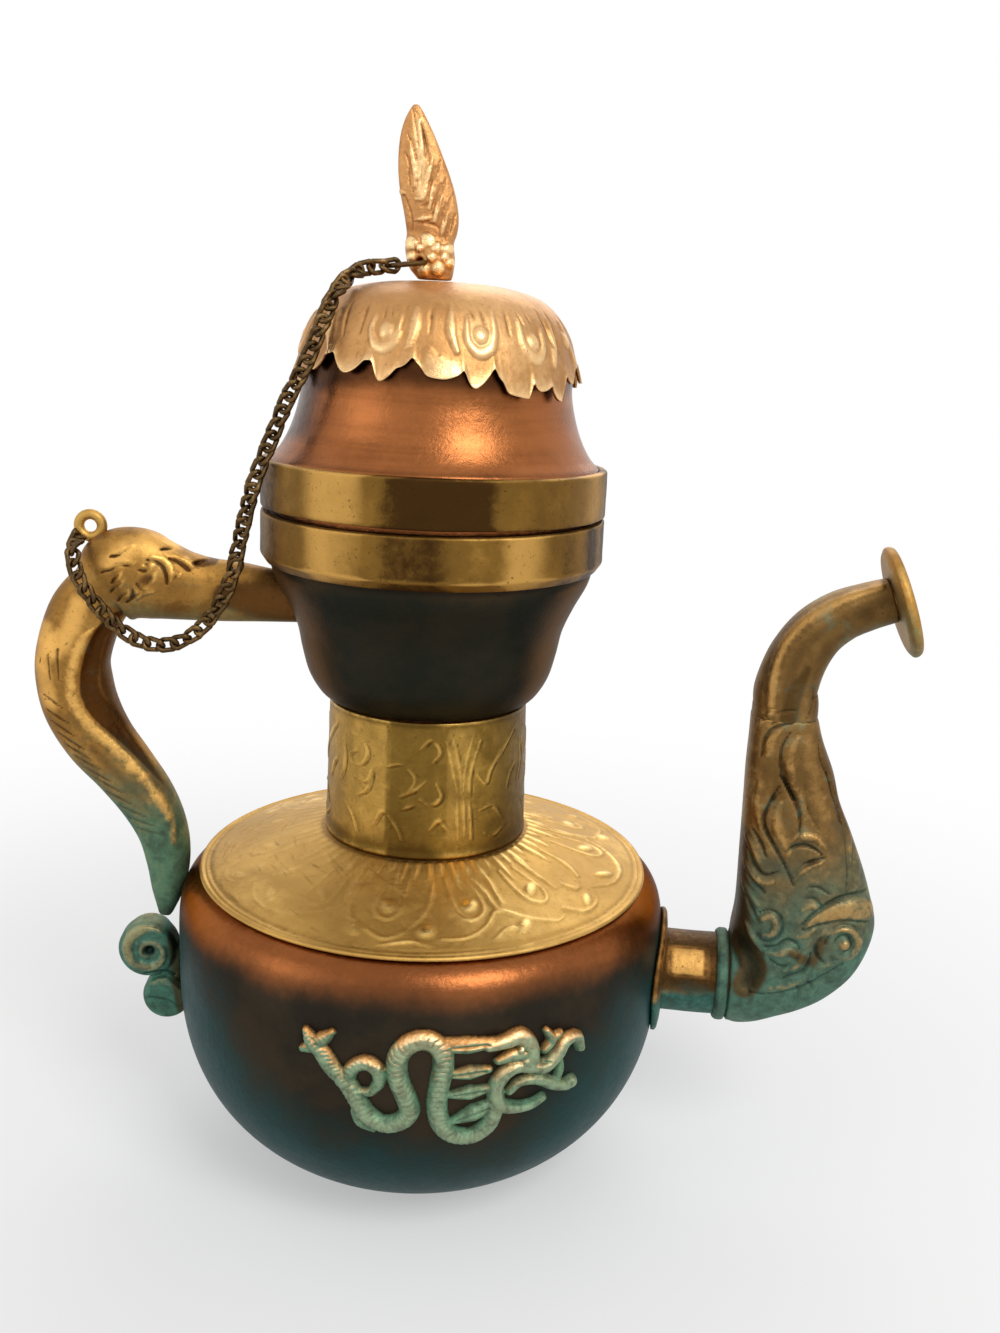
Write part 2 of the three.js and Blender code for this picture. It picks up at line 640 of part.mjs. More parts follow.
// One link: a ring of wire, drawn out along X, with its width along Y
function linkShape(length, width) {
  const link = new THREE.TorusGeometry(width / 2, WIRE / 2, WIRE_SIDES, LINK_STEPS);
  link.rotateZ(Math.PI / LINK_STEPS);
  return reshaped(link, (point) => {
    point.x += (Math.sign(point.x) * (length - width)) / 2;
  });
}

// The turn about a tangent that takes one direction across it to another
function turnBetween(tangent, from, to) {
  return Math.atan2(tangent.dot(new THREE.Vector3().crossVectors(from, to)), from.dot(to));
}

// Neighbouring links stand square to each other, at 45 degrees to the front. Towards either end
// they turn, so that the first one crosses the finial's ring and the last one the wire of the eye
function linkTurns(tangents, normals) {
  const last = tangents.length - 1;
  const turns = tangents.map((_, i) => {
    const held = Math.min(i, last - CHAIN_TURN_LINKS);
    const front = new THREE.Vector3(0, -1, 0).projectOnPlane(tangents[held]);
    const side = i % 2 === 0 ? 1 : -1;
    return turnBetween(tangents[held], normals[held], front) + (side * Math.PI) / 4;
  });
  const acrossRing = new THREE.Vector3(0, 1, 0).cross(tangents[0]);
  const missing = (i, wanted) => {
    const turn = turnBetween(tangents[i], normals[i], wanted) - turns[i];
    return turn - Math.PI * Math.round(turn / Math.PI);
  };
  const [atFirst, atLast] = [missing(0, acrossRing), missing(last, eyeOutwards)];
  return turns.map((turn, i) => {
    const nearFirst = Math.max(0, 1 - i / CHAIN_TURN_LINKS);
    const nearLast = Math.max(0, 1 - (last - i) / CHAIN_TURN_LINKS);
    return turn + atFirst * nearFirst + atLast * nearLast;
  });
}

function addChain() {
  const path = chainPath();
  const last = Math.round(path.getLength() / LINK_PITCH);
  const { tangents, normals } = path.computeFrenetFrames(last);
  linkTurns(tangents, normals).forEach((turn, i) => {
    const across = normals[i].clone().applyAxisAngle(tangents[i], turn);
    const facing = new THREE.Vector3().crossVectors(tangents[i], across);
    const isLast = i === last;
    const link = isLast ? linkShape(END_LINK_LENGTH, END_LINK_WIDTH) : linkShape(LINK_LENGTH, LINK_WIDTH);
    link.applyMatrix4(new THREE.Matrix4().makeBasis(tangents[i], across, facing));
    const middle = path.getPointAt(i / last);
    link.translate(middle.x, middle.y, middle.z);
    piece(`chain_link_${String(i + 1).padStart(2, '0')}`, link, BRONZE);
  });
}

// Rivets run out through a wall towards the handle, and their heads are hammered to its inside
const armRivetHeights = [armHeight - ARM_RIVET_SPACING / 2, armHeight + ARM_RIVET_SPACING / 2];
const bracketRivetHeight = (CURL_HEIGHT + LOBE_HEIGHT) / 2;

function towardsHandle(geometry, height) {
  return alongX(geometry).rotateZ(Math.PI).translate(0, 0, height);
}

function rivetShaft(wallAt, height, grow) {
  const outside = wallAt(height);
  const inner = outside - CUP_WALL - RIVET_HEAD - GAP;
  return towardsHandle(rod(RIVET_RADIUS + grow, inner, outside + RIVET_BITE + grow, RIVET_STEPS), height);
}

function rivet(wallAt, outline, height) {
  const outside = wallAt(height);
  const inner = outside - CUP_WALL - RIVET_HEAD - 2 * GAP;
  const head = towardsHandle(rod(RIVET_HEAD_RADIUS, inner, outside, RIVET_STEPS), height);
  const room = turned(filled(outline, -CUP_WALL - GAP));
  return joined(common(head, room), rivetShaft(wallAt, height, 0));
}

// Handle: arm, grip and tail in one casting, with the eye for the chain.
// Arm shares: along from the cup, rise, half height and half depth
const armShares = [
  [0, -0.02, 0.48, 0.62], [0.186, 0.06, 0.57, 0.66], [0.31, 0.11, 0.634, 0.70],
  [0.426, 0.14, 0.665, 0.76], [0.536, 0.21, 0.735, 0.85], [0.638, 0.32, 0.855, 0.95],
  [0.728, 0.42, 0.97, 1], [0.822, 0.38, 0.93, 0.96], [0.906, 0.15, 0.63, 0.78],
  [0.986, -0.02, 0.35, 0.46],
];
// Grip shares: stand-off, height above the tail, half width and half depth
const gripShares = [
  [0.527, 1, 0.90, 0.90], [0.642, 0.928, 0.96, 0.96], [0.727, 0.816, 0.97, 1],
  [0.724, 0.732, 1, 1], [0.678, 0.653, 0.99, 1], [0.566, 0.564, 0.93, 0.97],
  [0.399, 0.475, 0.84, 0.91], [0.240, 0.380, 0.776, 0.85], [0.137, 0.284, 0.714, 0.78],
  [0.10, 0.188, 0.66, 0.70], [0.105, 0.094, 0.50, 0.60], [0.13, 0.002, 0.20, 0.36],
];

function handleShape() {
  const armFrom = cupAt(armHeight) - OVERRUN;
  const armTo = BELLY_RADIUS + HANDLE_STANDOFF * ARM_REACH_SHARE;
  const arm = armShares.map(([along, up, height, depth]) => [
    -armFrom - along * (armTo - armFrom), armHeight + up * ARM_HALF_HEIGHT,
    height * ARM_HALF_HEIGHT, depth * ARM_HALF_DEPTH,
  ]);
  const grip = gripShares.map(([out, up, width, depth]) => [
    -BELLY_RADIUS - out * HANDLE_STANDOFF,
    HANDLE_TAIL_HEIGHT + up * (armHeight - HANDLE_TAIL_HEIGHT),
    width * GRIP_HALF_WIDTH, depth * GRIP_HALF_DEPTH,
  ]);
  const loop = new THREE.TorusGeometry(EYE_RADIUS, EYE_WIRE, EYE_SIDES, BORE_STEPS);
  loop.rotateX(Math.PI / 2).translate(eye.x, eye.y, eye.z);
  const armBar = castAlong(arm, ARM_STEPS, CAST_SIDES, CAST_POWER);
  const gripBar = castAlong(grip, GRIP_STEPS, CAST_SIDES, CAST_POWER);
  const casting = joined(armBar, gripBar, loop);
  const holes = armRivetHeights.map((z) => rivetShaft(cupAt, z, GAP));
  return cut(casting, cupBlock(GAP), bowlBlock(GAP), ...holes);
}

// The bracket's curl and lobe are round cheeks on a web that hugs the bowl
function cheek(radius, standoff, height) {
  const half = BRACKET_DEPTH / 2;
  const edge = half / 2;
  const profile = [
    [0, -half], [radius - edge, -half], [radius, -half + edge], [radius, half - edge],
    [radius - edge, half], [0, half],
  ];
  return turned(profile, BORE_STEPS).rotateX(Math.PI / 2)
    .translate(-bellyAt(height) - standoff, 0, height);
}

function scrollBracket() {
  const webDepth = BRACKET_DEPTH * WEB_DEPTH_SHARE;
  const web = new THREE.BoxGeometry(CURL_STANDOFF, webDepth, CURL_HEIGHT - LOBE_HEIGHT);
  web.translate(-bellyAt(bracketRivetHeight) - CURL_STANDOFF / 3, 0, bracketRivetHeight);
  const curlEye = rod(CURL_EYE_RADIUS, -BRACKET_DEPTH, BRACKET_DEPTH, RIVET_STEPS).rotateX(Math.PI / 2);
  curlEye.translate(-bellyAt(CURL_HEIGHT) - CURL_STANDOFF, 0, CURL_HEIGHT);
  const casting = joined(
    cheek(CURL_RADIUS, CURL_STANDOFF, CURL_HEIGHT), cheek(LOBE_RADIUS, LOBE_STANDOFF, LOBE_HEIGHT), web);
  return cut(casting, bowlBlock(GAP), curlEye, rivetShaft(bellyAt, bracketRivetHeight, GAP));
}

// Spout. Its pieces are laid out towards +X, and the whole group is turned towards the front
const spout = new THREE.Group();
const headFace = BELLY_RADIUS + TUBE_LENGTH;
const headBottom = SPOUT_HEIGHT - HEAD_DROP;
const headTop = headBottom + HEAD_HEIGHT;
const mouth = new THREE.Vector3(BELLY_RADIUS + SPOUT_REACH, 0, headTop + GAP + NECK_RISE);

function spoutFlange() {
  const bowlHere = (grow) => bowlBlock(grow).rotateZ(-SPOUT_TURN);
  const disc = alongX(rod(FLANGE_RADIUS, BELLY_RADIUS / 2, BELLY_RADIUS * 2, LATHE_STEPS));
  const tubeHole = alongX(rod(TUBE_RADIUS + GAP, 0, BELLY_RADIUS * 3));
  for (const shape of [disc, tubeHole]) shape.translate(0, 0, SPOUT_HEIGHT);
  return cut(common(disc, bowlHere(GAP + FLANGE_SHEET)), bowlHere(GAP), tubeHole);
}

function spoutTube() {
  const start = BELLY_RADIUS - BOWL_WALL - NECK_TUBE_BITE;
  const tube = ring(TUBE_RADIUS - TUBE_WALL, TUBE_RADIUS, start, headFace + SOCKET_DEPTH, BORE_STEPS);
  return alongX(tube).translate(0, 0, SPOUT_HEIGHT);
}

function spoutCollar() {
  const end = headFace - GAP;
  const collar = ring(TUBE_RADIUS + GAP, SPOUT_COLLAR_RADIUS, end - SPOUT_COLLAR_LENGTH, end, BORE_STEPS);
  return alongX(collar).translate(0, 0, SPOUT_HEIGHT);
}

// Head shares: height, nearest and farthest edge, half depth
const headShares = [
  [0, 0.02, 0.15, 0.40], [0.02, 0, 0.28, 0.56], [0.052, 0, 0.42, 0.72], [0.088, 0, 0.59, 0.85],
  [0.134, 0, 0.745, 0.95], [0.204, 0, 0.895, 1], [0.286, 0, 0.98, 1], [0.368, 0.02, 1.01, 0.98],
  [0.442, 0.022, 0.967, 0.95], [0.532, 0.018, 0.895, 0.88], [0.649, 0.014, 0.78, 0.78],
  [0.746, 0.01, 0.676, 0.70], [0.836, 0.006, 0.613, 0.63], [0.93, 0.01, 0.52, 0.57],
  [1, 0.01, 0.47, 0.545],
];
const sheathX = headFace + HEAD_WIDTH * SHEATH_SHARE;
const spigotHalfWidth = SPOUT_NECK_HALF_WIDTH - SPIGOT_WALL;
const spigotHalfDepth = SPOUT_NECK_HALF_DEPTH - SPIGOT_WALL;

function spigot(bottom, top, shrink) {
  const [w, d] = [spigotHalfWidth - shrink, spigotHalfDepth - shrink];
  return castInSlices([[bottom, sheathX - w, sheathX + w, d], [top, sheathX - w, sheathX + w, d]],
    OVAL_SIDES, 2);
}

// Cavity shares: reach and rise from the end of the socket to the spigot, and the bore
const cavityShares = [[0, 0, 0.72], [0.5, 0.04, 0.76], [1, 0.28, 0.78], [0.85, 0.58, 0.66], [0.2, 1, 0.42]];

function headCavity() {
  const start = [headFace + SOCKET_DEPTH / 2, SPOUT_HEIGHT];
  const rise = headTop - SPIGOT_LENGTH + SPIGOT_WALL - SPOUT_HEIGHT;
  const reach = HEAD_WIDTH * CAVITY_REACH_SHARE;
  const stations = cavityShares.map(([out, up, bore]) => [
    start[0] + out * reach, start[1] + up * rise, bore * TUBE_RADIUS, bore * TUBE_RADIUS,
  ]);
  return castAlong(stations, CAVITY_STEPS, OVAL_SIDES);
}

function spoutHead() {
  const slices = headShares.map(([up, near, far, depth]) => [
    headBottom + up * HEAD_HEIGHT, headFace + near * HEAD_WIDTH, headFace + far * HEAD_WIDTH,
    depth * HEAD_HALF_DEPTH,
  ]);
  const jaw = alongX(rod(JAW_RADIUS, headFace, headFace + JAW_LENGTH, BORE_STEPS));
  const socket = alongX(rod(TUBE_RADIUS + GAP, headFace - OVERRUN, headFace + SOCKET_DEPTH + GAP));
  for (const shape of [jaw, socket]) shape.translate(0, 0, SPOUT_HEIGHT);
  const neckSocket = spigot(headTop - SPIGOT_LENGTH, headTop + OVERRUN, 0);
  return cut(joined(castInSlices(slices, CAST_SIDES, HEAD_POWER), jaw), socket, headCavity(), neckSocket);
}

// Upper tube shares: reach and rise to the mouth, half width and half depth
const neckShares = [
  [0, 0, 1, 1], [0, 0.09, 0.99, 0.98], [-0.01, 0.22, 0.95, 0.95], [0.08, 0.47, 0.90, 0.92],
  [0.25, 0.69, 0.83, 0.88], [0.48, 0.84, 0.77, 0.84], [0.74, 0.93, 0.71, 0.81], [1, 1, 0.67, 0.79],
];

function neckStations(shrink) {
  return neckShares.map(([out, up, width, depth]) => [
    sheathX + out * (mouth.x - sheathX), headTop + GAP + up * (mouth.z - headTop - GAP),
    width * SPOUT_NECK_HALF_WIDTH - shrink, depth * SPOUT_NECK_HALF_DEPTH - shrink,
  ]);
}

function spoutNeck() {
  const foot = headTop - SPIGOT_LENGTH + GAP;
  const outside = joined(
    castAlong(neckStations(0), NECK_STEPS, CAST_SIDES, CAST_POWER),
    spigot(foot, headTop + OVERRUN / 2, GAP));
  const stations = neckStations(SPOUT_WALL);
  const [x, z, w, d] = stations[stations.length - 1];
  const past = mouthDirection();
  stations.push([x + past.x * OVERRUN, z + past.z * OVERRUN, w, d]);
  const bore = spigot(foot - OVERRUN, headTop + OVERRUN, GAP + SPOUT_WALL);
  return cut(outside, castAlong(stations, NECK_STEPS, OVAL_SIDES), bore);
}

function mouthDirection() {
  const stations = neckStations(0);
  const [[x0, z0], [x1, z1]] = stations.slice(-2);
  return new THREE.Vector3(x1 - x0, 0, z1 - z0).normalize();
}

function spoutLip() {
  const direction = mouthDirection();
  const tilt = Math.atan2(direction.z, direction.x);
  const half = LIP_THICKNESS / 2;
  const disc = turned([
    [0, -half], [LIP_RADIUS - half, -half], [LIP_RADIUS, -half / 3], [LIP_RADIUS, half / 3],
    [LIP_RADIUS - half / 2, half], [0, half],
  ]);
  const [, , mouthHalfWidth] = neckStations(SPOUT_WALL)[neckShares.length - 1];
  const bore = rod(mouthHalfWidth, -OVERRUN, OVERRUN);
  const lip = cut(alongX(disc).translate(0, 0, -LIP_DROP), alongX(bore));
  const centre = mouth.clone().addScaledVector(direction, GAP + half);
  return lip.rotateY(-tilt).translate(centre.x, 0, centre.z);
}

// Dragon lines. Shares along its length and up its height
const dragonBodyShares = [
  [0.15, 0.52], [0.18, 0.36], [0.21, 0.20], [0.27, 0.13], [0.33, 0.17], [0.37, 0.30], [0.37, 0.47],
  [0.335, 0.64], [0.335, 0.81], [0.365, 0.95], [0.42, 1], [0.47, 0.95], [0.50, 0.80], [0.49, 0.58],
  [0.48, 0.36], [0.51, 0.12], [0.57, 0.02], [0.63, 0.09], [0.66, 0.26], [0.67, 0.47], [0.66, 0.65],
  [0.69, 0.81], [0.75, 0.86], [0.81, 0.74], [0.86, 0.66], [0.90, 0.70], [0.95, 0.78],
];
const dragonLimbShares = [
  [[0.02, 0.95], [0.04, 0.80], [0.10, 0.63], [0.16, 0.52]],
  [[0.12, 0.97], [0.09, 0.84], [0.05, 0.77]],
  [[0, 0.72], [0.05, 0.76]],
  [[0.15, 0.52], [0.18, 0.66], [0.22, 0.72], [0.27, 0.67], [0.28, 0.55], [0.25, 0.45]],
  [[0.20, 0.22], [0.23, 0.08], [0.25, 0]],
  [[0.50, 0.88], [0.59, 0.89], [0.68, 0.82]],
  [[0.50, 0.69], [0.58, 0.68], [0.67, 0.64]],
  [[0.48, 0.48], [0.58, 0.47], [0.67, 0.42]],
  [[0.50, 0.28], [0.58, 0.28], [0.66, 0.26]],
  [[0.81, 0.74], [0.84, 0.89], [0.86, 0.98]],
  [[0.94, 0.77], [0.985, 0.74]],
  [[0.84, 0.68], [0.88, 0.50], [0.95, 0.36], [0.97, 0.44]],
  [[0.67, 0.47], [0.71, 0.35], [0.78, 0.28], [0.86, 0.27]],
];

function dragonLine(shares, radius) {
  const points = shares.map(([along, up]) => {
    const height = DRAGON_FOOT_HEIGHT + up * DRAGON_HEIGHT;
    const azimuth = DRAGON_START + (along * DRAGON_LENGTH) / BELLY_RADIUS;
    const out = bellyAt(height) + DRAGON_PROUD;
    return new THREE.Vector3(out * Math.sin(azimuth), -out * Math.cos(azimuth), height);
  });
  const section = new THREE.Shape();
  section.absarc(0, 0, radius, 0, 2 * Math.PI);
  return new THREE.ExtrudeGeometry(section, {
    steps: points.length - 1,
    curveSegments: DRAGON_SIDES / 2,
    extrudePath: new THREE.CatmullRomCurve3(points),
  });
}

function dragonShape() {
  const lines = dragonLimbShares.map((shares) => dragonLine(shares, DRAGON_LIMB_RADIUS));
  return cut(joined(dragonLine(dragonBodyShares, DRAGON_BODY_RADIUS), ...lines), bowlBlock(GAP));
}

piece('body_shell', bodyShell(), COPPER);
piece('base_disc', baseDisc(), COPPER);
piece('shoulder_plate', shoulderPlate(), SHEET_BRASS);
piece('neck_tube', neckTube(), COPPER);
piece('neck_collar', neckCollar(), SHEET_BRASS);
piece('mouth_cup', mouthCup(), DARK_COPPER);
piece('cup_rim_band', rimBand(cupRimHeight - CUP_BAND_HEIGHT, cupRimHeight, true), SHEET_BRASS);

piece('lid_shell', lidShell(), COPPER, lid);
piece('lid_rim_band', rimBand(lidSeatHeight, lidSeatHeight + LID_BAND_HEIGHT, false), SHEET_BRASS, lid);
piece('lid_sleeve', lidSleeve(), COPPER, lid);
piece('leaf_cap', leafCap(), PALE_BRASS, lid);
piece('finial', finialShape(), PALE_BRASS, lid);
piece('finial_washer', finialWasher(), SHEET_BRASS, lid);
piece('finial_ring', ringShape(WIRE / 2), BRONZE, lid);
addChain();

piece('handle', handleShape(), CAST_BRASS);
piece('handle_rivet_lower', rivet(cupAt, cup, armRivetHeights[0]), SHEET_BRASS);
piece('handle_rivet_upper', rivet(cupAt, cup, armRivetHeights[1]), SHEET_BRASS);
piece('scroll_bracket', scrollBracket(), CAST_BRASS);
piece('scroll_rivet', rivet(bellyAt, bowl, bracketRivetHeight), SHEET_BRASS);

spout.rotation.z = SPOUT_TURN;
ewer.add(spout);
piece('spout_flange', spoutFlange(), COPPER, spout);
piece('spout_tube', spoutTube(), COPPER, spout);
piece('spout_collar', spoutCollar(), CAST_BRASS, spout);
piece('spout_head', spoutHead(), CAST_BRASS, spout);
piece('spout_neck', spoutNeck(), CAST_BRASS, spout);
piece('spout_lip', spoutLip(), CAST_BRASS, spout);

piece('dragon_front', dragonShape(), CAST_BRASS);
piece('dragon_back', dragonShape().rotateZ(Math.PI), CAST_BRASS);

export default ewer;
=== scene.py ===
# The looks of the ewer, built around its frame. Lengths below are millimetres until they go into
# a mesh. The origin is the middle of the base, the spout points to +X, the handle to -X, and the
# front, with its dragon and the chain, to -Y. An azimuth is in degrees from the front towards +X.
import math

import bmesh
import bpy
import numpy as np
from mathutils import Matrix, Vector


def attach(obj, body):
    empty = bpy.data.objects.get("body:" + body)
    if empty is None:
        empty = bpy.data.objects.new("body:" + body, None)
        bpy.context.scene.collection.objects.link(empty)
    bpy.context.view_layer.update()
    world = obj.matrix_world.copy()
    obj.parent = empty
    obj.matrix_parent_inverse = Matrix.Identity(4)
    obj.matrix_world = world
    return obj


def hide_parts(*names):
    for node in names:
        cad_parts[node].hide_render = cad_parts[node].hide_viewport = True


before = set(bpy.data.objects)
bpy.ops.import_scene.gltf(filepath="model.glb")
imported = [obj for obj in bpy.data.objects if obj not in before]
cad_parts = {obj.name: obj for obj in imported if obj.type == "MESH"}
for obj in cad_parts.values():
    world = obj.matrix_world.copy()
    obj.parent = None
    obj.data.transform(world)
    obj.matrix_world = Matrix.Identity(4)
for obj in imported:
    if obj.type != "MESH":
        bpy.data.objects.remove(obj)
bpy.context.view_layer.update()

MM = 0.001
SHEET = 1.4

# The bowl: largest radius, its height, the foot's radius and height, the top, and the powers of the
# curves below and above the largest radius
BELLY, BELLY_Z = 65.2, 53.5
BASE, BASE_Z = 28, 1.7
BOWL_TOP = 79.5
LOW_ROUND, HIGH_ROUND = 2.36, 6.16

# The plate, and the radii of the collar's foot, its top and the hole inside it
PLATE, PLATE_Z, PLATE_RISE = 59.3, 80.6, 10.2
NECK_FOOT, NECK_TOP, NECK_HOLE = 26.7, 25.8, 24.8
COLLAR = 26

# The cup's foot and rim, the lid's seat and top, and the two rim bands
CUP_Z, RIM_Z, SEAT_Z, TOP_Z = 127.1, 175.2, 175.5, 228.9
RIM, BAND, BAND_TALL = 43.5, 2.4, 11.6
CUP_RIM = RIM - BAND

# Where the tipped lid still rests on the cup, as an angle from +X, and how far it is tipped
REST_AT, LID_TIP = math.radians(65), math.radians(0.8)

# The ring on the handle that holds the chain
EYE = (-86.1, 0, 168.7)

# The spout: its axis, its turn to the front, the cast head, the foot of the upper tube and the mouth
SPOUT_Z, SPOUT_TURN = 54.0, math.radians(-9)
HEAD_X, HEAD_Z, HEAD_TALL, HEAD_WIDE, HEAD_DEEP = 83.5, 42.6, 85.5, 36.5, 13.2
SHEATH = np.array([HEAD_X + HEAD_WIDE * 0.24, HEAD_Z + HEAD_TALL + 0.3])
MOUTH = np.array([115.8, 159.4])


# Lines and heights

def smooth_line(points, steps):
    """A smooth curve through given points"""
    points = np.asarray(points, float)
    ends = np.vstack([2 * points[0] - points[1], points, 2 * points[-1] - points[-2]])
    t = np.linspace(0, len(points) - 1, steps + 1)
    i = np.minimum(t.astype(int), len(points) - 2)
    f = (t - i)[:, None]
    p0, p1, p2, p3 = ends[i], ends[i + 1], ends[i + 2], ends[i + 3]
    return 0.5 * (2 * p1 + (p2 - p0) * f + (2 * p0 - 5 * p1 + 4 * p2 - p3) * f ** 2
                  + (3 * p1 - p0 - 3 * p2 + p3) * f ** 3)


def step(value, low, high):
    """0 below low, 1 above high, and smooth between"""
    t = np.clip((value - low) / (high - low), 0, 1)
    return t * t * (3 - 2 * t)


def between(value, rise, fall):
    """1 between two soft edges, each given as (from, to), and 0 outside them"""
    return step(value, *rise) * (1 - step(value, *fall))


def hump(distance, half):
    """1 at no distance, falling softly to 0"""
    return np.exp(-(distance / half) ** 2)


def towards(azimuth, at):
    """1 where a wall faces an azimuth, and -1 where it faces away"""
    return np.cos(np.radians(azimuth - at))


def unrolled(line, radius):
    """A line of (azimuth, height) on a round wall, laid flat"""
    return [(math.radians(a) * radius, z) for a, z in line]


def shifted(line, right, up):
    return [(x + right, z + up) for x, z in line]


class Relief:
    """Ridges and grooves drawn on a surface, whose points lie at (u, v)"""

    def __init__(self, u, v):
        self.u, self.v = np.broadcast_arrays(np.asarray(u, float), np.asarray(v, float))
        self.height = np.zeros(self.u.shape)
        self.stain_and_shade = np.zeros(self.u.shape)

    def near(self, line, half):
        """Points in reach of a line, how far off, how far along and on which side, and its length"""
        line = np.asarray(line, float)
        if len(line) == 1:
            line = np.vstack([line, line + 0.01])
        if len(line) > 2:
            line = smooth_line(line, 4 * (len(line) - 1))
        low, high = line.min(0) - half, line.max(0) + half
        picked = (self.u > low[0]) & (self.u < high[0]) & (self.v > low[1]) & (self.v < high[1])
        p = np.stack([self.u[picked], self.v[picked]], -1)
        nearest, along, side = np.full(len(p), 1e9), np.zeros(len(p)), np.zeros(len(p))
        lengths = np.hypot(*np.diff(line, axis=0).T)
        starts = np.concatenate([[0], np.cumsum(lengths)])
        for k, length in enumerate(lengths):
            way = (line[k + 1] - line[k]) / length
            t = np.clip((p - line[k]) @ way, 0, length)
            off = p - line[k] - t[:, None] * way
            far = np.hypot(off[:, 0], off[:, 1])
            closer = far < nearest
            nearest[closer] = far[closer]
            along[closer] = (starts[k] + t)[closer]
            side[closer] = (way[0] * off[:, 1] - way[1] * off[:, 0])[closer]
        return picked, nearest, along, side, starts[-1]

    def swell(self, line, half, ends, power):
        """The points near a line, how high it stands there, from 0 to 1, and its width as a share"""
        picked, far, along, _, length = self.near(line, half)
        width = np.interp(along / length, [0, 0.5, 1], [ends[0], 1, ends[1]])
        return picked, np.clip(1 - (far / (half * width)) ** 2, 0, 1) ** power, width

    def ridge(self, line, half, height, ends=(1, 1), power=0.5):
        """A raised line. ends are its widths there, as shares of its half width"""
        picked, swell, width = self.swell(line, half, ends, power)
        self.height[picked] = np.maximum(self.height[picked], height * swell * (0.55 + 0.45 * width))

    def groove(self, line, half, depth, ends=(0.4, 0.4)):
        picked, swell, _ = self.swell(line, half, ends, 1.5)
        self.height[picked] -= depth * swell

    def shade(self, line, half, amount, ends=(1, 1)):
        """Darkens the finish along a line, or brightens it where the amount is below 0"""
        picked, swell, _ = self.swell(line, half, ends, 1.5)
        self.stain_and_shade[picked] += amount * swell

    def scales(self, line, half, pitch, depth):
        """Rows of scales along a raised line"""
        picked, far, along, side, _ = self.near(line, half)
        across = np.clip(side / half, -1, 1)
        row = np.mod((along + 0.9 * pitch * across ** 2) / pitch, 1)
        cross = 0.5 + 0.5 * np.cos(across * 9)
        value = -depth * step(row, 0.55, 1) - 0.4 * depth * cross * step(row, 0.2, 0.5)
        self.height[picked] += value * (far < half)


# Meshes

def mark(mesh, name, values):
    """A value at each point, for the finish to read"""
    if name in mesh.attributes:
        mesh.attributes.remove(mesh.attributes[name])
    layer = mesh.attributes.new(name, "FLOAT", "POINT")
    layer.data.foreach_set("value", np.asarray(values, np.float32).ravel())


def linked(name, data):
    """A new object in the scene"""
    obj = bpy.data.objects.new(name, data)
    bpy.context.collection.objects.link(obj)
    return obj


def add_mesh(name, points, faces, relief=None, stain_and_shade=None):
    """A mesh from points in mm, with the values that its finish reads at each point"""
    mesh = bpy.data.meshes.new(name)
    mesh.from_pydata((np.asarray(points, float) * MM).tolist(), [], np.asarray(faces).tolist())
    for key, values in (("relief", relief), ("stain_and_shade", stain_and_shade)):
        mark(mesh, key, np.zeros(len(points)) if values is None else values)
    obj = linked(name, mesh)
    tidy(obj)
    return obj


def tidy(obj):
    """Doubles merged, then every face turned outwards and shaded smooth"""
    bm = bmesh.new()
    bm.from_mesh(obj.data)
    bmesh.ops.remove_doubles(bm, verts=bm.verts, dist=1e-6)
    bmesh.ops.dissolve_degenerate(bm, edges=bm.edges, dist=1e-7)
    bmesh.ops.recalc_face_normals(bm, faces=bm.faces)
    for face in bm.faces:
        face.smooth = True
    bm.to_mesh(obj.data)
    bm.free()


def grid_faces(rows, columns, close_rows=False):
    """Faces between rows of points, each row closed on itself"""
    a, b = np.meshgrid(np.arange(rows if close_rows else rows - 1), np.arange(columns), indexing="ij")
    a2, b2 = (a + 1) % rows, (b + 1) % columns
    corners = [a * columns + b, a * columns + b2, a2 * columns + b2, a2 * columns + b]
    return np.stack(corners, -1).reshape(-1, 4)


def densified(profile, most):
    """The same outline, with no span longer than most"""
    out = [profile[0]]
    for a, b in zip(profile[:-1], profile[1:]):
        a, b = np.asarray(a, float), np.asarray(b, float)
        count = max(1, int(np.ceil(np.hypot(*(b - a)) / most)))
        out += [a + (b - a) * k / count for k in range(1, count + 1)]
    return np.asarray(out, float)


def outward(profile):
    """Directions square to an outline that runs up its outside"""
    way = np.gradient(profile, axis=0)
    way /= np.maximum(np.hypot(way[:, 0], way[:, 1]), 1e-9)[:, None]
    return np.stack([way[:, 1], -way[:, 0]], -1)


def rounded(corners, radius, steps=3):
    """An outline whose inner corners are rounded off"""
    corners = [np.asarray(c, float) for c in corners]
    out = [corners[0]]
    for before, corner, after in zip(corners[:-2], corners[1:-1], corners[2:]):
        first, second = before - corner, after - corner
        reach = min(radius, np.hypot(*first) / 2.1, np.hypot(*second) / 2.1)
        a = corner + first / np.hypot(*first) * reach
        b = corner + second / np.hypot(*second) * reach
        for t in np.linspace(0, 1, steps + 1):
            out.append((1 - t) ** 2 * a + 2 * t * (1 - t) * corner + t * t * b)
    out.append(corners[-1])
    return np.asarray(out)


def azimuths(columns):
    return np.arange(columns) * 360.0 / columns


def wrapped(azimuth, period=360.0):
    """An azimuth brought to within half a period of the front"""
    return np.mod(azimuth + period / 2, period) - period / 2


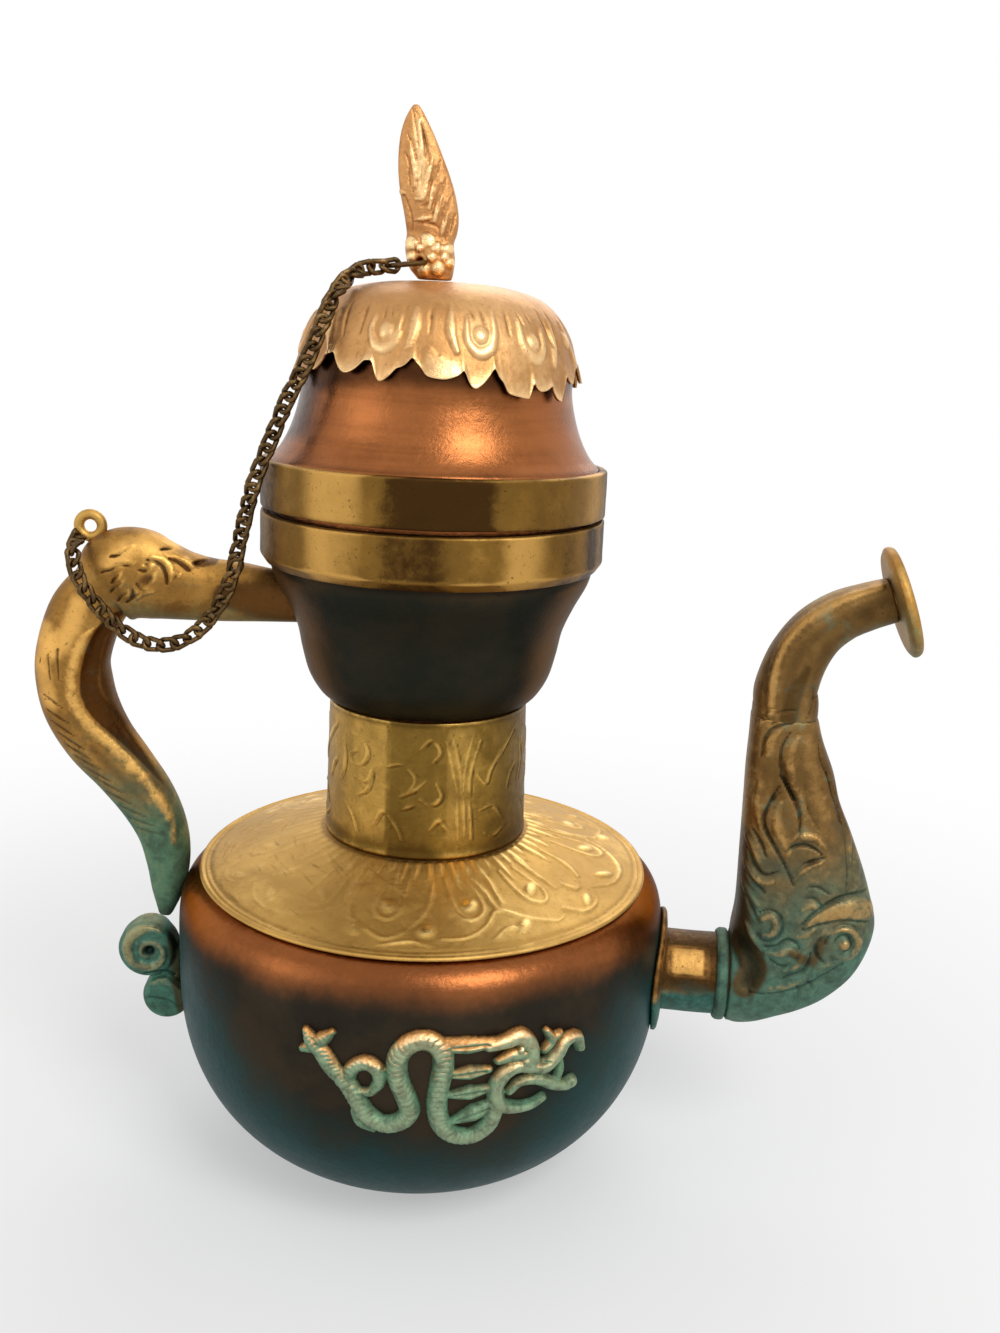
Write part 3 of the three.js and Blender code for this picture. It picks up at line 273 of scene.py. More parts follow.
def revolve(name, outside, inside, columns, relief=None):
    """Turns an outline about Z. relief(azimuth, radius, height) gives what lifts its outside, in mm,
    and its stains and painted light and shade"""
    outside, inside = np.asarray(outside, float), np.asarray(inside, float)
    azimuth = azimuths(columns)[None, :]
    lift, stain_and_shade = np.zeros((len(outside), columns)), np.zeros((len(outside), columns))
    if relief is not None:
        raised, stained = relief(azimuth, outside[:, :1], outside[:, 1:])
        lift, stain_and_shade = raised + lift, stained + stain_and_shade
    normal = outward(outside)
    radius = outside[:, :1] + normal[:, :1] * lift
    height = outside[:, 1:] + normal[:, 1:] * lift
    if len(inside):
        radius = np.vstack([radius, np.repeat(inside[:, :1], columns, 1)])
        height = np.vstack([height, np.repeat(inside[:, 1:], columns, 1)])
        # The inside is marked low and stained darker: painted shade on its inner wall
        lift = np.vstack([lift, np.full((len(inside), columns), -0.3)])
        stain_and_shade = np.vstack([stain_and_shade, np.full((len(inside), columns), 0.5)])
    a = np.radians(azimuth)
    points = np.stack([radius * np.sin(a), -radius * np.cos(a), height + 0 * a], -1).reshape(-1, 3)
    return add_mesh(name, points, grid_faces(len(radius), columns, True), lift, stain_and_shade)


def along_spout(obj):
    """Lays a piece that was turned about Z along the spout's level foot"""
    obj.data.transform(Matrix.Rotation(SPOUT_TURN, 4, "Z") @ Matrix.Translation((0, 0, SPOUT_Z * MM))
                       @ Matrix.Rotation(math.pi / 2, 4, "Y"))
    return obj


def stacked(rings):
    """Rings of points one after another, with both ends filled"""
    rings = np.asarray(rings, float)
    count, sides = rings.shape[:2]
    points = np.vstack([rings.reshape(-1, 3), rings[0].mean(0), rings[-1].mean(0)])
    faces = grid_faces(count, sides).tolist()
    first, last = count * sides, count * sides + 1
    for j in range(sides):
        k = (j + 1) % sides
        faces.append([k, j, first])
        faces.append([(count - 1) * sides + j, (count - 1) * sides + k, last])
    return points, faces


def ovals(centres, across, widths, depths, sides, power):
    """Rings of points round the centres, oval at a power of 2 and squarer above it"""
    angle = (np.arange(sides) + 0.5) / sides * 2 * np.pi
    c, s = np.cos(angle), np.sin(angle)
    w = np.sign(c) * np.abs(c) ** (2 / power) * widths[:, None]
    d = np.sign(s) * np.abs(s) ** (2 / power) * depths[:, None]
    points = centres[:, None, :] + across[:, None, :] * w[..., None]
    points[..., 1] += d
    return points


def cast_along(stations, steps, sides, power=2.3):
    """A cast arm along a route of (x, z, half width, half depth)"""
    line = smooth_line(stations, steps)
    way = np.gradient(line[:, :2], axis=0)
    way /= np.hypot(way[:, 0], way[:, 1])[:, None]
    centres = np.stack([line[:, 0], 0 * line[:, 0], line[:, 1]], -1)
    across = np.stack([-way[:, 1], 0 * way[:, 0], way[:, 0]], -1)
    return ovals(centres, across, line[:, 2], line[:, 3], sides, power)


def cast_in_slices(slices, steps, sides, power):
    """A cast block of level slices of (height, near edge, far edge, half depth)"""
    line = smooth_line(slices, steps)
    middle = (line[:, 1] + line[:, 2]) / 2
    centres = np.stack([middle, 0 * middle, line[:, 0]], -1)
    across = np.tile([1.0, 0, 0], (len(line), 1))
    return ovals(centres, across, (line[:, 2] - line[:, 1]) / 2, line[:, 3], sides, power)


def fused(name, parts, voxel, rounds):
    """Overlapping closed forms melted into one casting"""
    mesh = bpy.data.meshes.new(name)
    bm = bmesh.new()
    for points, faces in parts:
        verts = [bm.verts.new(p) for p in np.asarray(points, float) * MM]
        for face in faces:
            corners = [verts[i] for i in face]
            if len(set(corners)) == len(corners):
                bm.faces.new(corners)
    bmesh.ops.remove_doubles(bm, verts=bm.verts, dist=1e-7)
    bmesh.ops.recalc_face_normals(bm, faces=bm.faces)
    bm.to_mesh(mesh)
    bm.free()
    obj = linked(name, mesh)
    remesh = obj.modifiers.new("melt", "REMESH")
    remesh.mode = "VOXEL"
    remesh.voxel_size = voxel * MM
    soft = obj.modifiers.new("soften", "SMOOTH")
    soft.factor, soft.iterations = 0.5, rounds
    baked(obj)
    return obj


def baked(obj):
    """The object's modifiers, made into plain mesh"""
    bpy.context.view_layer.update()
    held = bpy.context.evaluated_depsgraph_get()
    mesh = bpy.data.meshes.new_from_object(obj.evaluated_get(held))
    obj.modifiers.clear()
    obj.data = mesh
    return obj


def carved(obj, draw, sides, keep=1.0):
    """Lifts a casting's front and back by ornament drawn in (x, z)"""
    mesh = obj.data
    count = len(mesh.vertices)
    points, normals = np.zeros(count * 3), np.zeros(count * 3)
    mesh.vertices.foreach_get("co", points)
    mesh.vertex_normals.foreach_get("vector", normals)
    points, normals = points.reshape(-1, 3) / MM, normals.reshape(-1, 3)
    relief = Relief(points[:, 0], points[:, 2])
    draw(relief)
    lift = relief.height * step(np.abs(normals[:, 1]), *sides) * keep
    points += normals * lift[:, None]
    mesh.vertices.foreach_set("co", (points * MM).ravel())
    mark(mesh, "relief", lift)
    mark(mesh, "stain_and_shade", relief.stain_and_shade)
    mesh.update()
    tidy(obj)
    return obj


# Materials

def linear(colour):
    """A colour as seen, 0 to 255, in the form that shaders take"""
    out = []
    for c in colour:
        c = c / 255
        out.append(c / 12.92 if c <= 0.04045 else ((c + 0.055) / 1.055) ** 2.4)
    return (*out, 1.0)


class Socket:
    """One output of a node. Sums on it are written as plain expressions"""

    def __init__(self, tree, out):
        self.tree, self.out = tree, out

    def math(self, operation, *others, first=None):
        node = self.tree.nodes.new("ShaderNodeMath")
        node.operation = operation
        for slot, value in zip(node.inputs, ((self,) if first is None else (first, self)) + others):
            plug(self.tree, slot, value)
        return Socket(self.tree, node.outputs[0])

    def __add__(self, other):
        return self.math("ADD", other)

    def __mul__(self, other):
        return self.math("MULTIPLY", other)

    def __sub__(self, other):
        return self.math("SUBTRACT", other)

    def __rsub__(self, other):
        return self.math("SUBTRACT", first=other)

    def __truediv__(self, other):
        return self.math("DIVIDE", other)

    def __neg__(self):
        return self.math("MULTIPLY", -1.0)

    __radd__ = __add__
    __rmul__ = __mul__


def plug(tree, slot, value):
    """Joins a socket to a slot, or sets the slot's own value"""
    if isinstance(value, Socket):
        tree.links.new(value.out, slot)
    else:
        slot.default_value = value


class Finish:
    """A material under construction"""

    def __init__(self, name):
        self.material = bpy.data.materials.new(name)
        self.material.use_nodes = True
        self.tree = self.material.node_tree
        self.tree.nodes.clear()

    def node(self, kind, settings=None, values=None, out=0):
        node = self.tree.nodes.new(kind)
        for key, value in (settings or {}).items():
            setattr(node, key, value)
        for key, value in (values or {}).items():
            plug(self.tree, node.inputs[key], value)
        return Socket(self.tree, node.outputs[out])

    def place(self, stretch=(1, 1, 1)):
        """Object coordinates, in millimetres"""
        raw = self.node("ShaderNodeTexCoord", out="Object")
        scale = tuple(s / MM for s in stretch)
        return self.node("ShaderNodeVectorMath", {"operation": "MULTIPLY"}, {0: raw, 1: scale})

    def axis(self, vector, name):
        return self.node("ShaderNodeSeparateXYZ", None, {0: vector}, name)

    def noise(self, place, size, detail, rough, twist=0.0):
        """Cloudy values from 0 to 1, with blotches about size mm across"""
        return self.node("ShaderNodeTexNoise", None, {
            "Vector": place, "Scale": 1 / size, "Detail": detail, "Roughness": rough, "Distortion": twist})

    def step(self, value, low, high):
        """0 below low, 1 above high, and smooth between"""
        return self.node("ShaderNodeMapRange", {"interpolation_type": "SMOOTHSTEP"},
                         {"Value": value, "From Min": low, "From Max": high})

    def mix(self, share, a, b):
        kind = {"data_type": "RGBA", "clamp_factor": True}
        return self.node("ShaderNodeMix", kind, {0: share, 6: a, 7: b}, 2)

    def marked(self, name):
        return self.node("ShaderNodeAttribute", {"attribute_name": name}, None, "Fac")

    def facing(self):
        """The surface's own direction"""
        return self.node("ShaderNodeNewGeometry", None, None, "Normal")

    def metal(self, colour, rough, height, metallic, deep=0.25, edge=1.0):
        """Bare metal with bumps up to deep mm. edge dims what it mirrors at a glancing angle"""
        bump = self.node("ShaderNodeBump", None, {"Strength": 1.0, "Distance": MM * deep, "Height": height})
        shader = self.node("ShaderNodeBsdfPrincipled", None, {
            "Base Color": colour, "Roughness": rough, "Metallic": metallic, "Normal": bump,
            "Specular Tint": (edge, edge, edge, 1.0), "Specular IOR Level": 0.5 * edge})
        return self.shown(shader)

    def shown(self, shader):
        """Puts a shader on the surface, which ends the material"""
        out = self.tree.nodes.new("ShaderNodeOutputMaterial")
        self.tree.links.new(shader.out, out.inputs[0])
        return self.material


def worn_metal(name, bright, plain, dark, stain_and_shade, patina=None, patina_from=0.0, patina_to=-10.0, under=0.0,
               clouds=22.0, stains=0.6, rough=(0.28, 0.5), depth=0.5, lumps=0.3, spread=0.0, grain=1.0,
               tilt=(0.1, 0.8), hold=0.7, creep=1.0):
    """Metal that is bright on its high parts, dark in its hollows, stained, and green low down, on faces
    that look down and in blotches, which is partly patina and partly painted teal light from below.
    The green sets in below patina_from, and covers all below patina_to. under, spread and hold say
    how much of it there is on faces that look down and in blotches, and how far high parts stay clean"""
    s = Finish(name)
    place = s.place()
    relief = s.marked("relief") / depth
    painted = s.marked("stain_and_shade")
    broad = s.noise(place, clouds, 4.0, 0.6, 0.5) - 0.5
    mid = s.noise(place, clouds / 4, 5.0, 0.65, 0.3) - 0.5
    fine = s.noise(place, 1.7, 6.0, 0.7) - 0.5
    specks = s.noise(place, 0.9, 3.0, 0.7)
    high = s.step(relief + fine * (1.4 * grain) + mid * (1.6 * grain) + broad * grain, 0.05, 1.0)
    low = s.step(-relief + fine * 0.8 + mid * 0.4, 0.12, 0.85)
    tone = broad * 2.4 + mid * (1.8 * grain) + fine * (0.9 * grain)
    colour = s.mix(s.step(tone, -0.45, 0.5), linear(stain_and_shade), linear(plain))
    colour = s.mix(1.0 - stains, colour, linear(plain))
    colour = s.mix(high, colour, linear(bright))
    # Marks below 0 brighten towards the bright colour, as painted highlights and reflections; marks above 0
    # darken towards the stain colour, as stains and painted shade
    colour = s.mix(s.step(-painted + mid * 0.5, 0.1, 0.8), colour, linear(bright))
    colour = s.mix(s.step(painted + fine * 0.8 + mid * 0.8, 0.1, 0.8) * 0.9, colour, linear(stain_and_shade))
    colour = s.mix(low, colour, linear(dark))
    pits = s.step(specks, 0.6, 0.7) * 0.6
    colour = s.mix(pits, colour, linear(stain_and_shade))
    green = 0.0 * pits
    if patina:
        level = s.axis(place, "Z") + broad * (60 * creep) + mid * (26 * creep) + fine * (8 * creep)
        green = s.step(-level, -patina_from, -patina_to)
        # Green on faces that look down is partly painted teal light from below
        down = s.step(-s.axis(s.facing(), "Z") + broad * 1.2 + mid * 0.8, *tilt) * under
        damp = s.step(low * 0.15 + mid * 2.0 + broad * 1.5, 0.1, 0.6) * spread
        green = (green + down + damp).math("MINIMUM", 1.0) * (1.0 - hold * high)
        green = green * (1.0 - 0.85 * s.step(painted + mid * 0.4, 0.35, 1.0))
        deep_green = tuple(c * 0.62 for c in patina)
        crust = s.mix(s.step(mid * 2.2 + fine, -0.5, 0.4), linear(deep_green), linear(patina))
        colour = s.mix(green * 0.92, colour, crust)
        colour = s.mix(low * 0.65, colour, linear(dark))
    gloss = rough[1] + (rough[0] - rough[1]) * high + fine * 0.25 + mid * 0.2 + green * 0.12
    height = fine * 0.5 + mid * lumps * 3.0 + specks * 0.14 - pits * 0.25
    return s.metal(colour, gloss, height, 1.0 - green * 0.5)


def sheet_copper(name, bright, plain, stain_and_shade, night=None, shadow=None, boundary=None, teal=None,
                 hoops=1.0, edge=1.0):
    """Beaten sheet copper: warm browns in soft clouds, darker below a height, and teal low down that rises
    towards the sides, which is painted teal light
    """
    s = Finish(name)
    place = s.place()
    painted = s.marked("stain_and_shade")
    cloud = s.noise(place, 34.0, 4.0, 0.55, 0.4) - 0.5
    hoop = s.noise(s.place((0.12, 0.12, hoops)), 9.0, 6.0, 0.65, 0.3) - 0.5
    mid = s.noise(place, 7.0, 5.0, 0.65) - 0.5
    fine = s.noise(place, 1.5, 6.0, 0.7) - 0.5
    colour = s.mix(s.step(cloud * 1.6 + hoop * 1.2 + fine * 0.4, -0.4, 0.45), linear(plain), linear(bright))
    colour = s.mix(s.step(mid * 1.4 + hoop * 0.8 + fine, 0.24, 0.62) * 0.7, colour, linear(stain_and_shade))
    dark_below = teal_light = 0.0 * fine
    if boundary:
        level = s.axis(place, "Z") + cloud * 6 + mid * 3 + fine * 1.5
        dark_below = s.step(-level, -boundary[0], -boundary[1])
        under = s.mix(s.step(cloud * 2.2 + mid * 1.2, -0.4, 0.4), linear(shadow), linear(night))
        colour = s.mix(dark_below, colour, under)
    # Teal low down, rising towards the X sides: painted teal light from below and behind
    if teal:
        side = s.axis(place, "X").math("ABSOLUTE")
        level = s.axis(place, "Z") - (side - 22.0).math("MAXIMUM", 0.0)
        teal_light = s.step(-(level + cloud * 30 + mid * 12), -teal[0], -teal[1]) * dark_below
        colour = s.mix(teal_light * 0.9, colour, linear((10, 66, 66)))
    # Marks above 0 darken towards the stain colour, as stains and painted shade; marks below 0 brighten, as
    # painted reflections and highlights
    colour = s.mix(s.step(painted + mid * 0.5 + fine * 0.3, 0.1, 1.0) * 0.9, colour, linear(stain_and_shade))
    colour = s.mix(s.step(-painted + mid * 0.4, 0.05, 1.0) * 0.75, colour, linear(bright))
    gloss = 0.3 + fine * 0.2 + mid * 0.16 + dark_below * 0.12
    return s.metal(colour, gloss, mid * 0.7 + fine * 0.2, 1.0 - dark_below * 0.35 - teal_light * 0.4, 0.3, edge)


COPPER = sheet_copper("copper", (164, 98, 54), (126, 74, 40), (34, 24, 18), (60, 50, 38), (44, 40, 32),
                      boundary=(77.5, 68), teal=(44, 14), edge=0.35)
LID_COPPER = sheet_copper("lid_copper", (164, 100, 56), (124, 74, 40), (58, 34, 20), hoops=2.4)
DARK_COPPER = sheet_copper("dark_copper", (112, 80, 46), (54, 46, 34), (26, 22, 18), (44, 40, 30),
                           (32, 34, 27), boundary=(172, 158), edge=0.4)
PLATE_BRASS = worn_metal("plate_brass", (242, 202, 124), (206, 164, 88), (120, 86, 40), (152, 114, 56),
                         clouds=26, stains=0.5, depth=0.55, lumps=0.1, grain=0.6)
COLLAR_BRASS = worn_metal("collar_brass", (210, 168, 88), (152, 120, 54), (64, 48, 22), (84, 62, 26),
                          clouds=20, stains=0.6, depth=0.34, lumps=0.14, grain=0.8)
BAND_BRASS = worn_metal("band_brass", (196, 152, 80), (140, 104, 46), (62, 40, 20), (54, 34, 16),
                        clouds=30, stains=0.45, depth=0.8, lumps=0.06, grain=0.45)
PALE_BRASS = worn_metal("pale_brass", (238, 196, 140), (200, 150, 94), (112, 72, 36), (148, 98, 52),
                        clouds=24, stains=0.5, depth=0.9, lumps=0.12, grain=0.6, rough=(0.24, 0.42))
ROSY_BRASS = worn_metal("rosy_brass", (250, 212, 154), (206, 152, 96), (116, 72, 36), (158, 104, 58),
                        clouds=10, stains=0.45, depth=0.6, rough=(0.22, 0.42), lumps=0.5, grain=0.7)
HANDLE_BRASS = worn_metal("handle_brass", (232, 180, 98), (180, 134, 66), (78, 48, 20), (92, 60, 30),
                          patina=(82, 132, 104), patina_from=116, patina_to=80, under=0.45,
                          spread=0.2, lumps=0.4, depth=0.42, grain=0.8)
SCROLL_BRASS = worn_metal("scroll_brass", (214, 170, 100), (150, 118, 62), (24, 38, 34), (60, 50, 32),
                          patina=(70, 132, 112), patina_from=74, patina_to=58, under=0.4,
                          spread=0.4, clouds=12, depth=0.8, hold=0.3, creep=0.35, tilt=(-0.5, 0.2))
SPOUT_BRASS = worn_metal("spout_brass", (184, 142, 82), (134, 102, 58), (44, 38, 24), (82, 60, 32),
                         patina=(78, 126, 106), patina_from=108, patina_to=58, under=0.3,
                         spread=0.45, clouds=18, lumps=0.4, depth=1.3, hold=0.6, creep=0.9)
DRAGON_BRASS = worn_metal("dragon_brass", (255, 220, 168), (214, 156, 92), (26, 24, 18), (120, 84, 48),
                          patina=(104, 156, 124), patina_from=64, patina_to=46, under=0.9,
                          clouds=10, depth=1.8, tilt=(-0.45, -0.1), hold=0.12, grain=0.6, creep=0.3)
BRONZE = worn_metal("bronze", (196, 162, 112), (120, 94, 58), (42, 32, 20), (58, 44, 28), clouds=6,
                    stains=0.7, rough=(0.22, 0.44))
TUBE_COPPER = worn_metal("tube_copper", (206, 158, 88), (150, 106, 54), (50, 32, 16), (52, 36, 20),
                         patina=(38, 116, 104), patina_from=56, patina_to=51, under=0.8,
                         stains=0.7, clouds=12, creep=0.15, tilt=(0.15, 0.65), hold=0.3)


def dress(obj, material, body, slot, *nodes):
    """Gives a piece its finish, the body that it rides on and the nodes that it stands for"""
    obj.data.materials.clear()
    obj.data.materials.append(material)
    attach(obj, body)
    if nodes:
        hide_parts(*nodes)
    return obj


def finish_node(name, material):
    """A node whose own shape stays gets a better finish"""
    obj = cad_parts[name]
    if not obj.material_slots:
        obj.data.materials.append(material)
    for place in obj.material_slots:
        place.material = material


# Outlines

def curve_fall(share, power):
    """How wide a rounded curve still is at a share of its height"""
    return (1 - share ** power) ** (1 / power)


BOWL_LOW = BELLY_Z / curve_fall(BASE / BELLY, LOW_ROUND)
BOWL_HIGH = (BOWL_TOP - BELLY_Z) / curve_fall(PLATE / BELLY, HIGH_ROUND)
PLATE_SLOPE = PLATE_RISE / (PLATE - NECK_FOOT)


def belly(height):
    """The bowl's radius at a height"""
    height = np.asarray(height, float)
    low = BELLY * curve_fall(np.clip((BELLY_Z - height) / BOWL_LOW, 0, 1), LOW_ROUND)
    high = BELLY * curve_fall(np.clip((height - BELLY_Z) / BOWL_HIGH, 0, 1), HIGH_ROUND)
    return np.where(height < BELLY_Z, low, high)


def bowl_outline():
    low = [(belly(z), z) for z in np.linspace(BASE_Z, BELLY_Z, 34)]
    high = [(belly(z), z) for z in np.linspace(BELLY_Z, BOWL_TOP, 26)[1:]]
    return low + high + [(NECK_HOLE, BOWL_TOP + PLATE_SLOPE * (PLATE - NECK_HOLE))]


CUP_SHARES = [
    (0, 0), (0.085, 0.005), (0.24, 0.05), (0.4, 0.145), (0.5, 0.27), (0.58, 0.4), (0.74, 0.53),
    (0.93, 0.655), (1, 0.738), (1, 1),
]
LID_SHARES = [
    (1, 0), (1, 0.217), (0.935, 0.275), (0.88, 0.356), (0.84, 0.448), (0.815, 0.54), (0.81, 0.615),
    (0.79, 0.7), (0.747, 0.8), (0.68, 0.883), (0.575, 0.947), (0.4, 0.985), (0.2, 1), (0, 1),
]
LID_TALL = TOP_Z - SEAT_Z


def lid_line(first, grow, steps=60):
    """The lid's outline from one of its points to its top"""
    points = [(CUP_RIM * out, SEAT_Z + LID_TALL * up) for out, up in LID_SHARES[first:]]
    line = smooth_line(points, steps)
    line[:, 0] = np.maximum(line[:, 0], 0)
    return np.maximum(line + outward(line) * grow, [0, 0])


def tipped(obj):
    """The lid rides up a little at its front left, about the place where its rim rests"""
    rest = Vector((RIM * math.cos(REST_AT), RIM * math.sin(REST_AT), SEAT_Z)) * MM
    axis = Vector((-math.sin(REST_AT), math.cos(REST_AT), 0))
    turn = Matrix.Rotation(LID_TIP, 4, axis)
    obj.data.transform(Matrix.Translation(rest) @ turn @ Matrix.Translation(-rest))
    return obj


# Vessel

def dragon_halo(azimuth, radius, height):
    """The bowl darkened to brown round the dragons' outlines, more at their upper part"""
    near = wrapped(azimuth, 180) + 0 * height
    r = Relief(np.radians(near) * BELLY, height + 0 * near)
    for line in [DRAGON_BODY] + [line for line, *_ in DRAGON_LINES]:
        r.shade(unrolled(shifted(line, 0, 0.8), BELLY), 3.6, 0.5)
    return 0 * near, np.minimum(r.stain_and_shade, 0.9) * (0.35 + 0.65 * step(height, 44, 60))


def add_bowl():
    outside = densified(bowl_outline(), 2.0)
    inside = outside - outward(outside) * SHEET
    inside[-1] = [NECK_HOLE, inside[-1][1]]
    bowl = revolve("bowl", outside, densified(inside[::-1], 5), 256, dragon_halo)
    dress(bowl, COPPER, "vessel", "copper", "body_shell")


PLATE_RIDGES = [
    [(-21.1, 47.8), (-14.3, 51.3), (-9.6, 53.2), (-5.8, 51.3), (-3.5, 49.1)],
    [(4.9, 52.9), (11.4, 52.9), (17.6, 50.0), (23.2, 45.6), (29.8, 49.4), (38.6, 53.2), (43.3, 50.0)],
    [(-60.0, 49.0), (-52.0, 52.6), (-43.0, 53.2), (-36.0, 51.6), (-29.0, 48.2), (-25.0, 44.0)],
    [(43.3, 50.0), (48.0, 53.6), (55.0, 53.2), (60.0, 49.0)],
    [(-3.5, 49.1), (-1.2, 46.4), (1.4, 42.7), (3.2, 36.0), (4.2, 29.0)],
    [(-21.1, 47.8), (-23.6, 43.0), (-24.6, 36.0), (-24.4, 29.0)],
    [(-25.0, 44.0), (-26.4, 38.0), (-27.6, 30.0)],
    [(23.2, 45.6), (22.6, 40.0), (21.1, 36.3), (16.6, 29.0)], [(48.8, 44.3), (48.2, 36.0), (47.2, 28.0)],
    [(9.2, 33.0), (9.8, 42.0), (11.2, 45.6), (14.9, 47.4), (18.6, 45.4), (19.6, 41.0), (17.6, 34.0)],
    [(-40.0, 34.0), (-39.6, 43.0), (-38.0, 46.4), (-34.5, 48.0), (-31.0, 46.2), (-30.0, 42.0),
     (-31.4, 34.0)],
    [(34.4, 33.0), (34.6, 41.0), (36.2, 45.0), (39.6, 46.6), (43.0, 44.8), (44.0, 41.0), (42.2, 33.0)],
    [(-12.6, 34.0), (-15.0, 41.0), (-14.0, 45.4), (-10.6, 47.0), (-7.6, 44.6), (-7.4, 40.0),
     (-9.8, 33.0)], [(-10.0, 55.4), (-3.4, 53.6), (2.0, 55.2)],
    [(19.0, 54.0), (23.6, 51.6), (28.0, 54.2)], [(-58.0, 45.0), (-54.0, 40.0), (-53.0, 33.0)],
    [(52.6, 44.0), (55.6, 47.4), (59.6, 45.0)], [(-6.6, 38.8), (-6.9, 33.0), (-7.0, 28.0)],
    [(26.0, 44.0), (26.8, 35.0), (27.6, 28.0)],
]
PLATE_BOSSES = [
    (-34.5, 43.6), (-18.2, 51.3), (0.9, 50.4), (14.9, 42.7), (39.6, 41.7), (53.1, 51.3), (-11.2, 42.8),
    (-49.0, 49.6), (28.0, 52.0),
]


def plate_relief(azimuth, radius, height):
    """Fluting round the neck, then petals with bosses, worn smooth on the left"""
    near = wrapped(azimuth, 120) + 0 * radius
    r = Relief(np.radians(near) * radius, radius + 0 * near)

    def polar(points):
        return [(math.radians(a) * rho, rho) for a, rho in points]

    for line in PLATE_RIDGES:
        r.ridge(polar(line), 0.85, 0.34, (0.6, 0.4), 1.0)
    for at in PLATE_BOSSES:
        r.ridge(polar([at]), 2.5, 0.55, power=1.1)
    for k in range(20):
        a, reach = -58.5 + 6 * k, (37.5, 33.0, 35.5, 31.5)[k % 4]
        r.ridge(polar([(a, reach), (a + 0.5, 30.0), (a + 0.7, 27.0)]), 1.1, 0.42, (0.1, 1.3), 0.9)
        r.groove(polar([(a + 3, reach - 1.5), (a + 3.2, 27.0)]), 0.7, 0.26, (0.2, 1))
    worn = 1 - 0.72 * step(towards(azimuth, -72), 0.35, 0.9)
    worn = worn * (1 - 0.3 * step(towards(azimuth, 180), 0, 1)) + 0 * radius
    edge = 0.3 * hump(radius - 58.1, 0.55) - 0.12 * hump(radius - 56.9, 0.5)
    wave = 0.1 * np.sin(np.radians(azimuth * 5)) * step(radius, 30, 50)
    r.stain_and_shade += 0.9 * hump(radius - 26.6, 1.3) + 0.35 * hump(radius - 56.6, 0.8)
    # Lighter on the front right from a radius of 34 outwards: a painted highlight
    r.stain_and_shade += 0.16 * (1 - worn) - 0.3 * step(towards(azimuth, 28), 0.7, 1) * step(radius, 34, 46)
    scratches = Relief(np.radians(wrapped(azimuth)) * radius, radius + 0 * near)
    rng = np.random.default_rng(7)
    for _ in range(70):
        at, rho, turn = rng.uniform(-115, -10), rng.uniform(32, 56), rng.normal(0.2, 0.35)
        reach = rng.uniform(1.5, 5)
        middle = np.array([math.radians(at) * rho, rho])
        way = reach * np.array([math.cos(turn), math.sin(turn)])
        scratches.shade([middle - way, middle + way], 0.6, rng.uniform(0.1, 0.5), (0.2, 0.2))
    r.stain_and_shade += scratches.stain_and_shade
    return r.height * worn + edge + wave, r.stain_and_shade


def add_plate():
    top = [(PLATE - 0.1, 80.0), (PLATE + 0.35, 80.4), (PLATE + 0.2, 80.95), (PLATE - 0.5, 81.15)]
    slope = [(rho, PLATE_Z + PLATE_SLOPE * (PLATE - rho)) for rho in np.arange(58.4, NECK_HOLE, -0.36)]
    under = [(NECK_HOLE, 90.4), (PLATE - 1, 80.1)]

    def ornament(azimuth, radius, height):
        lift, stain_and_shade = plate_relief(azimuth, radius, height)
        return lift * step(radius, NECK_FOOT, 28) * (height > 81.1), stain_and_shade

    plate = revolve("plate", densified(top + slope, 0.5), densified(under, 6), 420, ornament)
    dress(plate, PLATE_BRASS, "vessel", "sheet_brass", "shoulder_plate")


COLLAR_LINES = [
    [(10.1, 122.4), (14.8, 113.4), (17.6, 107.6)], [(14.3, 122.3), (18.4, 114.3), (19.4, 108.1)],
    [(25.7, 123.0), (21.6, 115.3), (20.6, 108.6)], [(30.5, 121.6), (24.9, 114.0), (23.9, 107.3)],
    [(17.0, 106.5), (18.2, 96.1)], [(24.0, 106.1), (25.9, 95.6)], [(20.7, 107.4), (22.0, 96.5)],
    [(-47.2, 121.5), (-38.5, 120.2), (-35.1, 117.1), (-39.6, 113.9), (-46.4, 113.6), (-48.6, 115.7),
     (-43.2, 117.4)], [(-44.3, 110.5), (-36.1, 109.7), (-31.9, 112.9), (-34.4, 108.1), (-42.1, 105.5)],
    [(-51.1, 102.6), (-45.1, 99.9), (-41.2, 95.8)],
    [(-22.5, 114.8), (-15.1, 115.8), (-9.0, 114.4), (-6.4, 111.7), (-9.8, 108.7)],
    [(-14.6, 107.4), (-6.3, 109.4), (-0.6, 111.8)],
    [(-3.8, 107.2), (3.3, 105.6), (7.9, 107.9), (5.3, 111.3)], [(-13.1, 104.1), (-7.2, 105.4)],
    [(29.0, 112.6), (34.9, 109.9), (37.7, 113.1), (45.8, 118.1)],
    [(42.5, 115.5), (51.5, 119.8), (58.1, 122.5)], [(30.9, 103.3), (39.9, 103.7), (47.1, 99.4)],
    [(50.4, 107.2), (54.4, 111.3), (61.8, 113.9)], [(-57, 108), (-53, 113), (-55, 119)],
    [(-30, 99), (-24, 103), (-17, 100), (-13, 96)], [(2, 99), (7, 101.5), (12, 99)],
    [(34, 97), (41, 95.5), (49, 97.5)], [(-4, 120), (2, 122.5), (7, 119.5), (3, 116.5)],
]


